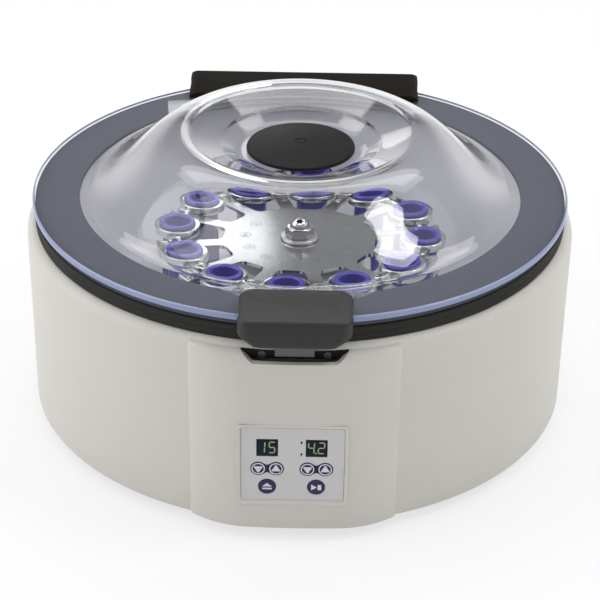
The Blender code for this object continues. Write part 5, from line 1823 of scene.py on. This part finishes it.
@dataclass
class Bucket:
    """Polished carrier ring on two pins, with its blue tube sleeve."""

    place: int
    angle: float
    circle: float = 0.085
    pivot_z: float = 0.1182
    ring_radius: float = 0.016
    ring_bore: float = 0.0111
    ring_half: float = 0.00325
    pin_radius: float = 0.0016
    pin_reach: float = 0.0213
    sleeve_radius: float = 0.0106
    tip_radius: float = 0.0093
    flange_radius: float = 0.0126
    bore: float = 0.0088
    hang: float = 0.0725
    ribs: int = 16

    def frame(self) -> Matrix:
        """Return the bucket's place: x outwards, y along the pins."""
        spot = (self.circle * math.cos(self.angle), self.circle * math.sin(self.angle), self.pivot_z)
        return Matrix.Translation(spot) @ Matrix.Rotation(self.angle, 4, "Z")

    def build(self, carrier: Mesh, sleeve: Mesh) -> None:
        """Place copies of the carrier and the sleeve on the bucket's body.

        Args:
            carrier: the carrier around its pivot.
            sleeve: the sleeve around the same pivot.
        """
        body = f"bucket_{self.place:02d}"
        for kind, source, finish, slot in (
            ("carrier", carrier, CHROME, "chrome"),
            ("sleeve", sleeve, BLUE, "blue_plastic"),
        ):
            mesh = source.copy()
            mesh.transform(self.frame())
            node = f"{kind}_{self.place:02d}"
            make(f"{node}_shown", mesh, finish, Piece(body, slot, (node,)))

    def carrier_mesh(self) -> Mesh:
        """Build the carrier: a ring with two stepped pins.

        Returns:
            Its mesh, around its pivot.
        """
        half = self.ring_half
        section = rounded(rectangle((self.ring_bore, -half), (self.ring_radius, half)), 0.0006, 3)
        ring = to_piece("carrier", turned("carrier", section, CHROME, 64))
        pins = []
        for side in (-1, 1):
            quarter = Matrix.Rotation(-side * QUARTER, 4, "X")
            start = Matrix.Translation((0.0, side * 0.014, 0.0)) @ quarter
            pins.append(prism(disc(self.pin_radius, 24), self.pin_reach - 0.014, start))
            collar = Matrix.Translation((0.0, side * 0.0152, 0.0)) @ quarter
            pins.append(prism(disc(self.pin_radius + 0.001, 24), 0.0016, collar))
        for pin in pins:
            carve(ring, pin, cut=Cut.JOIN)
        mesh = ring.data
        bpy.data.objects.remove(ring)
        return mesh

    def sleeve_mesh(self) -> Mesh:
        """Build the ribbed sleeve.

        Returns:
            Its mesh, around the carrier's pivot.
        """
        seat = self.ring_half + 0.0003
        top = seat + 0.0025
        outline = [
            (0.0, -self.hang), (self.tip_radius - 0.002, -self.hang),
            (self.tip_radius, -self.hang + 0.002), (self.sleeve_radius, -self.hang + 0.008),
            (self.sleeve_radius, seat), (self.flange_radius - 0.0005, seat),
            (self.flange_radius, seat + 0.0008), (self.flange_radius, top - 0.001),
            (self.flange_radius - 0.0008, top), (self.bore + 0.0012, top), (self.bore, top - 0.0012),
            (self.bore, -self.hang + 0.008), (0.0, -self.hang + 0.0025),
        ]
        body = turned("sleeve", outline, BLUE, 56)
        rib = block((self.sleeve_radius - 0.0006, -0.0005, -self.hang + 0.01), (0.0108, 0.0005, -0.006))
        ribs = Workshop.run(Pattern.RING, to_mesh("rib", rib), BLUE, Count=self.ribs, Start_Angle=0.1)
        builder = opened(body, ribs)
        builder.to_mesh(body)
        builder.free()
        return body


@dataclass
class Lid:
    """Clear domed lid with its ring, cap, handle and latch strap."""

    radius: float = 0.1805
    top_z: float = 0.157
    wall: float = 0.0042
    foot: float = 0.1435
    crown: float = 0.079
    rise: float = 0.042
    rim: float = 0.0545
    rim_drop: float = 0.008
    floor: float = 0.0425
    floor_drop: float = 0.015
    hole: float = 0.0055
    segments: int = 180

    def bell(self, radius: float) -> float:
        """Return the dome's height above the flange, from foot to crown.

        Args:
            radius: distance from the axis.

        Returns:
            The height.
        """
        share = (self.foot - radius) / (self.foot - self.crown)
        eased = share * share * (3 - 2 * share)
        return self.rise * (math.sin(share * QUARTER) + 3 * eased) / 4

    def path(self) -> list[Point]:
        """Return the upper side of the lid.

        Returns:
            Its points, from the middle hole to the flange's edge.
        """
        flat = (self.radius - 0.0016, self.radius - 0.003, self.foot + 0.0014, self.foot + 0.0006)
        path = [(radius, self.top_z) for radius in flat]
        for step in range(31):
            radius = self.foot - (self.foot - self.crown) * step / 30
            path.append((radius, self.top_z + self.bell(radius)))
        crown_z = self.top_z + self.rise
        floor_z = crown_z - self.floor_drop
        inner = [
            path[-1],
            (self.crown - 0.004, crown_z - 0.0006),
            (self.rim, crown_z - self.rim_drop),
            (self.floor, floor_z),
            (self.hole, floor_z),
        ]
        bent = rounded(inner, 0.012, 8)
        path += bent[9:-9]
        path.append((self.hole, floor_z))
        return path[::-1]

    def build(self) -> None:
        """Build every piece of the lid."""
        self.build_dome()
        self.build_ring()
        self.build_cap()
        Handle().build()
        HingeCover().build()

    def build_dome(self) -> None:
        """Build the clear shell; the flange's edge has its own tint."""
        upper = self.path()
        lower = [(radius, height - self.wall) for radius, height in upper]
        edge = self.radius
        rim_upper = [(edge - 0.0012, self.top_z), (edge - 0.0003, self.top_z - 0.0004)]
        rim_lower = [
            (edge, self.top_z - 0.0012), (edge, self.top_z - self.wall + 0.001),
            (edge - 0.0003, self.top_z - self.wall + 0.0003), (edge - 0.001, self.top_z - self.wall),
        ]
        outline = upper + rim_upper + rim_lower + lower[::-1]
        mesh = turned("dome", outline, CLEAR, self.segments)
        mesh.materials.append(EDGE.material())
        for face in mesh.polygons:
            if math.hypot(face.center.x, face.center.y) > edge - 0.001:
                face.material_index = 1
        make("clear_dome", mesh, CLEAR, Piece("lid", "clear_plastic", ("lid_dome",)), angle=50.0)

    def build_ring(self) -> None:
        """Build the dark ring under the flange."""
        low, high = 0.1496, 0.1525
        section = rounded(rectangle((0.149, low), (0.1785, high)), 0.0006, 3)
        mesh = turned("ring", section, RING, self.segments)
        make("lid_ring", mesh, RING, Piece("lid", "rubber", ("lid_gasket",)))

    def build_cap(self) -> None:
        """Build the black cap with its stem and centre mark."""
        seat = self.top_z + self.rise - self.floor_drop + 0.0003
        section = (
            (0.0, -0.009), (0.0045, -0.009), (0.0052, -0.0083), (0.0052, 0.0), (0.0355, 0.0),
            (0.0365, 0.0006), (0.0365, 0.0016), (0.0359, 0.0026), (0.0345, 0.003), (0.033, 0.00315),
            (0.025, 0.0043), (0.015, 0.0053), (0.006, 0.00575), (0.0042, 0.0058), (0.0038, 0.0054),
            (0.003, 0.0054), (0.0026, 0.0058), (0.0, 0.0058),
        )
        outline = [(radius, seat + height) for radius, height in section]
        mesh = turned("cap", outline, BLACK, 96)
        make("black_cap", mesh, BLACK, Piece("lid", "black_plastic", ("lid_cap",)))


@dataclass
class Handle:
    """Black handle on the lid's front edge, and the metal strap below it."""

    half_width: float = 0.035
    foot_half_width: float = 0.0265
    front: float = 0.1955
    back: float = 0.157
    top_z: float = 0.165
    fall: float = 0.003
    bottom_z: float = 0.144
    taper: float = 0.006
    corner: float = 0.009
    lid_radius: float = 0.1808
    lid_top: float = 0.1573
    dimple_place: Point = (0.0215, 0.1645)
    dimple_radius: float = 0.005
    dimple_depth: float = 0.0005

    def build(self) -> None:
        """Build the handle and the strap."""
        taper_z = self.bottom_z + self.taper
        outline = [
            (-self.front, self.bottom_z), (-self.front, taper_z), (-self.front, self.top_z - self.fall),
            (-self.back, self.top_z), (-self.back, taper_z), (-self.back, self.bottom_z),
        ]
        body = prism(outline, 2 * self.half_width, side_frame(-self.half_width))
        upright = [
            edge
            for edge in body.edges
            if abs((edge.verts[0].co - edge.verts[1].co).normalized().z) > 0.9
        ]
        bmesh.ops.bevel(body, geom=upright, offset=self.corner, segments=10, profile=0.5, affect="EDGES")
        for corner in body.verts:
            if corner.co.z < (self.bottom_z + taper_z) / 2:
                corner.co.x *= self.foot_half_width / self.half_width
        soften(body, 0.0026, 5, 50.0)
        piece = blank("grip", body, GRIP)
        room = prism(disc(self.lid_radius, 180), 0.03, raised(self.lid_top - 0.03))
        across, back = self.dimple_place
        radius = (self.dimple_radius**2 + self.dimple_depth**2) / (2 * self.dimple_depth)
        share = (back - self.back) / (self.front - self.back)
        level = self.top_z - self.fall * share - self.dimple_depth + radius
        dimples = []
        for side in (-1, 1):
            ball = bmesh.new()
            bmesh.ops.create_uvsphere(ball, u_segments=48, v_segments=128, radius=radius)
            bmesh.ops.translate(ball, verts=ball.verts, vec=(side * across, -back, level))
            dimples.append(ball)
        carve(piece, room, *dimples)
        Piece("lid", "black_plastic", ("lid_handle",)).attach(piece)
        self.build_strap()

    def build_strap(self) -> None:
        """Build the bent metal strap."""
        top, low, gap = self.bottom_z - 0.0003, self.bottom_z - 0.0098, 0.1855
        outline = [
            (-gap - 0.0015, low), (-gap + 0.001, low), (-gap + 0.001, low + 0.0015), (-gap, low + 0.0015),
            (-gap, top), (-gap - 0.0015, top),
        ]
        body = prism(outline, 0.024, side_frame(-0.012))
        soften(body, 0.0003, 2)
        make("strap", body, DULL_STEEL, Piece("lid", "satin_steel", ("latch_strap",)))


@dataclass
class HingeCover:
    """Black plate on the lid's back edge, with the outer knuckles."""

    axis_y: float = 0.1903
    axis_z: float = 0.15
    barrel: float = 0.0052
    half_width: float = 0.086
    middle: float = 0.0458
    front: float = 0.14
    hollow: float = 0.147
    corner: float = 0.006
    back: float = 0.1835
    low: float = 0.1573
    thickness: float = 0.0037

    def build(self) -> None:
        """Build the cover."""
        top = self.low + self.thickness
        outline = [
            (self.front, self.low), (self.back, self.low), (self.back, self.axis_z - self.barrel / 2),
            (self.axis_y, self.axis_z - self.barrel), (self.axis_y + self.barrel, self.axis_z),
            (self.axis_y + self.barrel - 0.0003, self.axis_z + self.barrel / 2), (self.back, top),
            (self.front + 0.0018, top),
        ]
        body = prism(outline, 2 * self.half_width, side_frame(-self.half_width))
        soften(body, 0.0007, 3, 25.0)
        piece = blank("hinge_plate", body, BROWN)
        room = block((-self.middle, self.back, 0.139), (self.middle, 0.2, 0.17))
        bore = prism(disc(0.0022, 32, (self.axis_y, self.axis_z)), 0.18, side_frame(-0.09))
        hollow = prism(disc(self.hollow, 180), 0.03, raised(self.low - 0.01))
        far = self.axis_y + self.barrel
        plan = rectangle((-self.half_width, self.front), (self.half_width, far))
        carve(piece, prism(rounded(plan, self.corner, 6), 0.04, raised(0.135)), cut=Cut.KEEP)
        face = rounded(rectangle((-self.half_width, 0.13), (self.half_width, top)), 0.0075, 8)
        carve(piece, prism(face, 0.08, back_frame(0.125)), cut=Cut.KEEP)
        carve(piece, room, bore, hollow)
        Piece("lid", "black_plastic", ("hinge_cover",)).attach(piece)


@dataclass
class Bracket:
    """Black bracket on the casing's back that carries the middle knuckle."""

    axis_y: float = 0.1903
    axis_z: float = 0.15
    barrel: float = 0.0052
    half_width: float = 0.045
    top_z: float = 0.1307
    height: float = 0.035
    plate: float = 0.1905
    screw_pitch: float = 0.03
    screw_z: float = 0.113

    def build(self) -> None:
        """Build the bracket and its screws."""
        back = self.axis_y + self.barrel
        outline = [
            (0.176, self.top_z - self.height), (self.plate, self.top_z - self.height),
            (back, self.top_z - self.height + self.barrel),
            *arc((self.axis_y, self.axis_z), self.barrel, 0.0, math.pi, 12),
            (self.axis_y - self.barrel, self.top_z), (0.176, self.top_z),
        ]
        body = prism(outline, 2 * self.half_width, side_frame(-self.half_width))
        soften(body, 0.0006, 3, 35.0)
        piece = blank("bracket", body, BLACK)
        casing = Casing()
        bend = casing.top_z - casing.shoulder
        drum = lofted([casing.ring(0.05, -0.0005), casing.ring(bend, -0.0005)])
        bore = prism(disc(0.0022, 32, (self.axis_y, self.axis_z)), 0.1, side_frame(-0.05))
        carve(piece, drum, bore)
        Piece("housing", "black_plastic", ("hinge_bracket",)).attach(piece)
        head = rounded([(0.0, -0.001), (0.0035, -0.001), (0.0035, 0.001), (0.0, 0.0018)], 0.0006)
        screws = ScrewRow("bracket_screws", STEEL, head, 32, 3, self.screw_pitch)
        spot = Matrix.Translation((-self.screw_pitch, 0.0, self.screw_z))
        slots = (
            block((-0.0028, -0.0005, 0.0008), (0.0028, 0.0005, 0.003)),
            block((-0.0005, -0.0028, 0.0008), (0.0005, 0.0028, 0.003)),
        )
        screws.build(spot @ back_frame(back), *slots)


@dataclass
class PowerModule:
    """Inlet with its socket and pins, and the rocker beside it."""

    level: float = 0.045
    face: float = 0.1875
    seat: float = 0.1853
    half_width: float = 0.033
    half_height: float = 0.015
    body_half_width: float = 0.029
    body_half_height: float = 0.0125
    body_depth: float = 0.012
    socket_offset: float = -0.0125
    switch_offset: float = 0.019
    pocket_half_width: float = 0.0068
    pocket_half_height: float = 0.0105

    def window(self) -> Solid:
        """Cut the casing for the inlet's body.

        Returns:
            The opening.
        """
        return block(
            (-self.body_half_width - 0.0003, 0.165, self.level - self.body_half_height - 0.0003),
            (self.body_half_width + 0.0003, 0.195, self.level + self.body_half_height + 0.0003),
        )

    def build(self) -> None:
        """Build the inlet, its pins and the rocker."""
        low = (-self.half_width, self.level - self.half_height)
        high = (self.half_width, self.level + self.half_height)
        flange = prism(
            rounded(rectangle(low, high), 0.003, 5), self.face - self.seat, back_frame(self.seat)
        )
        soften(flange, 0.0006, 3, 50.0)
        piece = blank("inlet", flange, BLACK)
        body = block(
            (-self.body_half_width, self.seat - self.body_depth, self.level - self.body_half_height),
            (self.body_half_width, self.face - 0.001, self.level + self.body_half_height),
        )
        carve(piece, body, cut=Cut.JOIN)
        x = -self.socket_offset
        socket = [
            (x - 0.011, self.level - 0.008), (x + 0.011, self.level - 0.008),
            (x + 0.011, self.level + 0.0035), (x + 0.0068, self.level + 0.008),
            (x - 0.0068, self.level + 0.008), (x - 0.011, self.level + 0.0035),
        ]
        socket_cut = prism(rounded(socket, 0.0012, 3), 0.016, back_frame(self.face - 0.012))
        pocket = prism(
            rectangle(
                (-self.switch_offset - self.pocket_half_width, self.level - self.pocket_half_height),
                (-self.switch_offset + self.pocket_half_width, self.level + self.pocket_half_height),
            ),
            0.012,
            back_frame(self.face - 0.008),
        )
        carve(piece, socket_cut, pocket)
        Piece("housing", "black_plastic", ("power_inlet",)).attach(piece)
        pins = []
        for across, rise in ((-0.007, 0.0), (0.0, 0.003), (0.007, 0.0)):
            pin = block(
                (self.socket_offset + across - 0.001, self.face - 0.0121, self.level + rise - 0.002),
                (self.socket_offset + across + 0.001, self.face - 0.006, self.level + rise + 0.002),
            )
            soften(pin, 0.0003, 2)
            pins.append(pin)
        make("inlet_pins", gather(*pins), STEEL, Piece("housing", "satin_steel"))
        self.build_rocker()

    def build_rocker(self) -> None:
        """Build the rocker in its off position, with its two generic marks."""
        half, tilt = 0.0093, math.radians(-8.0)
        outline = [
            (-half, 0.0052), (-half, 0.0), (-half / 2, -0.0038), (half / 2, -0.0038), (half, 0.0),
            (half, 0.0052), (half / 2, 0.0042), (0.0, 0.0038), (-half / 2, 0.0042),
        ]
        axes = Matrix(((0, 0, 1), (0, 1, 0), (1, 0, 0))).to_4x4()
        tilted = (
            Matrix.Translation((self.switch_offset, self.face - 0.003, self.level))
            @ Matrix.Rotation(tilt, 4, "X")
        )
        body = prism(outline, 0.0128, tilted @ Matrix.Translation((-0.0064, 0, 0)) @ axes)
        soften(body, 0.0005, 3, 20.0)
        make("rocker", body, BLACK, Piece("power_switch", "black_plastic", ("power_switch",)))
        face = tilted @ Matrix(((-1, 0, 0), (0, 0, 1), (0, 1, 0))).to_4x4()
        on = prism(rectangle((-0.0003, -0.0066), (0.0003, -0.0036)), 0.00062, face @ raised(0.0041))
        rings = [
            [(u, v + 0.0052, w) for u, v in disc(radius, 32)]
            for radius, w in ((0.0012, 0.0041), (0.0017, 0.0041), (0.0017, 0.0047), (0.0012, 0.0047))
        ]
        off = lofted(rings, loop=True)
        bmesh.ops.transform(off, matrix=face, verts=off.verts)
        make("rocker_marks", gather(on, off), INK, Piece("power_switch", "panel_film"))


@dataclass
class Feet:
    """Rubber feet with a recessed tread."""

    circle: float = 0.15
    height: float = 0.0077

    def build(self) -> None:
        """Build one foot and place it at each corner."""
        outline = rounded(
            [
                (0.0, self.height), (0.0, 0.0012), (0.0045, 0.0012), (0.0055, 0.0), (0.0088, 0.0),
                (0.0092, 0.0006), (0.012, self.height),
            ],
            0.0003,
            2,
        )
        names = ("foot_back_right", "foot_back_left", "foot_front_left", "foot_front_right")
        for index, name in enumerate(names):
            angle = TURN * (index + 0.5) / 4
            mesh = turned(name, outline, RUBBER, 48)
            spot = (self.circle * math.cos(angle), self.circle * math.sin(angle), 0.0)
            mesh.transform(Matrix.Translation(spot))
            make(f"{name}_rubber", mesh, RUBBER, Piece("housing", "rubber", (name,)))


class Carried:
    """CAD nodes that stay in view and only take a finish."""

    FINISHES = {
        "base_plate": GUNMETAL, "motor": GUNMETAL, "vibration_ring": RUBBER, "hinge_pin": STEEL,
        "motor_shaft": STEEL, "control_board": BOARD,
    }

    def dress(self, nodes: dict[str, Object]) -> None:
        """Give each carried node its material.

        Args:
            nodes: the model's nodes, by name.
        """
        for name, finish in self.FINISHES.items():
            node = nodes[name]
            node.data.materials.clear()
            node.data.materials.append(finish.material())
            LOG.info("%s keeps its CAD mesh in %s", name, finish.name)


@dataclass
class Studio:
    """Floor, lamps, world and the photograph's camera."""

    target: Place = (0.0, 0.0, 0.1)
    azimuth: float = math.radians(0.65)
    elevation: float = math.radians(28.54)
    distance: float = 1.4
    roll: float = math.radians(0.7116)
    focal_pixels: float = 2023.6
    soft_level: float = 0.32
    wall_ends: Point = (0.15, 0.35)
    centre_pixels: Point = (299.39, 258.66)
    image_pixels: int = 600
    sensor: float = 36.0
    floor_half: float = 6.0
    floor_grey: float = 0.9
    floor_glow: float = 0.72

    def build(self) -> None:
        """Build the studio."""
        self.build_floor()
        self.build_world()
        self.build_lamps()
        self.build_camera()
        bpy.context.scene.view_settings.view_transform = "Standard"

    def build_floor(self) -> None:
        """Build a pale floor that the camera sees as near white, with soft shadows."""
        builder = bmesh.new()
        bmesh.ops.create_grid(builder, x_segments=1, y_segments=1, size=self.floor_half)
        mesh = to_mesh("floor", builder)
        material = bpy.data.materials.new("studio_floor")
        material.use_nodes = True
        bench = Bench(material.node_tree)
        shader = material.node_tree.nodes["Principled BSDF"]
        shader.inputs["Base Color"].default_value = (*[self.floor_grey] * 3, 1.0)
        shader.inputs["Roughness"].default_value = 0.9
        seen = bench.rays("Is Camera Ray", "Is Glossy Ray", "Is Transmission Ray")
        glow = bench.node("ShaderNodeEmission", Color=WHITE_LIGHT, Strength=1.0)
        bench.surface("Material Output", bench.math("MULTIPLY", seen, self.floor_glow), shader, glow)
        mesh.materials.append(material)
        linked("floor", mesh)

    def build_world(self) -> None:
        """Build a soft surround whose lower part shows white, as the backdrop does."""
        world = bpy.data.worlds.new("studio_world")
        bpy.context.scene.world = world
        world.use_nodes = True
        bench = Bench(world.node_tree)
        light = world.node_tree.nodes["Background"]
        light.inputs["Color"].default_value = WHITE_LIGHT
        light.inputs["Strength"].default_value = self.soft_level
        white = bench.node("ShaderNodeBackground", Color=WHITE_LIGHT, Strength=1.0)
        mirrored = bench.rays("Is Glossy Ray", "Is Transmission Ray")
        way = bench.node("ShaderNodeTexCoord")
        rise = bench.node("ShaderNodeSeparateXYZ", Vector=way.outputs["Generated"])
        low = bench.node(
            "ShaderNodeMapRange",
            in0=rise.outputs["Z"],
            in1=self.wall_ends[0],
            in2=self.wall_ends[1],
            in3=1.0,
            in4=0.0,
        )
        wall = bench.math("MULTIPLY", mirrored, low.outputs["Result"])
        seen = bench.math("MAXIMUM", bench.rays("Is Camera Ray"), wall)
        bench.surface("World Output", seen, light, white)

    def build_lamps(self) -> None:
        """Build the softboxes, the windows that the dome mirrors and the rotor plate's panel."""
        for lamp in (
            ("top_softbox", (0.0, 0.95, 1.8), (3.0, 0.7), 20.0),
            ("front_softbox", (0.0, -1.25, 1.7), (2.0, 0.5), 5.5),
            ("left_softbox", (-1.9, -0.2, 1.1), (2.0, 1.6), 18.0),
            ("right_softbox", (1.9, -0.2, 1.1), (2.0, 1.6), 5.5),
            ("left_window", (-1.15, -0.15, 1.85), (0.9, 0.5), 4.0),
            ("right_window", (1.27, -0.2, 1.85), (0.6, 0.5), 10.5),
            ("plate_panel", (-0.078, 0.44, 0.35), (0.09, 0.11), 0.062),
        ):
            self.lamp(*lamp)

    def lamp(self, name: str, place: Place, size: Point, power: float) -> None:
        """Add an area lamp that faces the object.

        Args:
            name: name of the lamp.
            place: its middle.
            size: width and height.
            power: watts.
        """
        light = bpy.data.lights.new(name, "AREA")
        light.shape = "RECTANGLE"
        light.size, light.size_y = size
        light.energy = power
        lamp = linked(name, light)
        lamp.location = place
        lamp.visible_camera = False
        lamp.rotation_euler = (Vector(self.target) - Vector(place)).to_track_quat("-Z", "Y").to_euler()

    def build_camera(self) -> None:
        """Build the camera at the photograph's place."""
        flat = math.cos(self.elevation) * self.distance
        offset = Vector(
            (
                math.sin(self.azimuth) * flat,
                -math.cos(self.azimuth) * flat,
                math.sin(self.elevation) * self.distance,
            )
        )
        back = offset.normalized()
        right = Vector((0.0, 0.0, 1.0)).cross(back).normalized()
        up = back.cross(right)
        rolled = right * math.cos(self.roll) + up * math.sin(self.roll)
        upright = back.cross(rolled)
        data = bpy.data.cameras.new("photo_camera")
        data.sensor_width = self.sensor
        data.sensor_fit = "HORIZONTAL"
        data.lens = self.sensor * self.focal_pixels / self.image_pixels
        data.shift_x = (self.image_pixels / 2 - self.centre_pixels[0]) / self.image_pixels
        data.shift_y = -(self.image_pixels / 2 - self.centre_pixels[1]) / self.image_pixels
        camera = linked("photo_camera", data)
        turn = Matrix((rolled, upright, back)).transposed().to_4x4()
        camera.matrix_world = Matrix.Translation(Vector(self.target) + offset) @ turn
        bpy.context.scene.camera = camera


def main() -> None:
    """Build the sub-assemblies in order."""
    logging.basicConfig(level=logging.INFO, format="%(name)s: %(message)s")
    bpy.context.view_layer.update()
    Casing().build()
    LatchInsert().build()
    Panel().build()
    Chamber().build()
    rotor = Rotor()
    rotor.build()
    pattern = Bucket(0, 0.0)
    carrier, sleeve = pattern.carrier_mesh(), pattern.sleeve_mesh()
    for place in range(rotor.places):
        angle = rotor.first + TURN * place / rotor.places
        Bucket(place + 1, angle).build(carrier, sleeve)
    Lid().build()
    Bracket().build()
    PowerModule().build()
    Feet().build()
    Carried().dress(frame["nodes"])
    Studio().build()


if __name__ == "__main__":
    main()
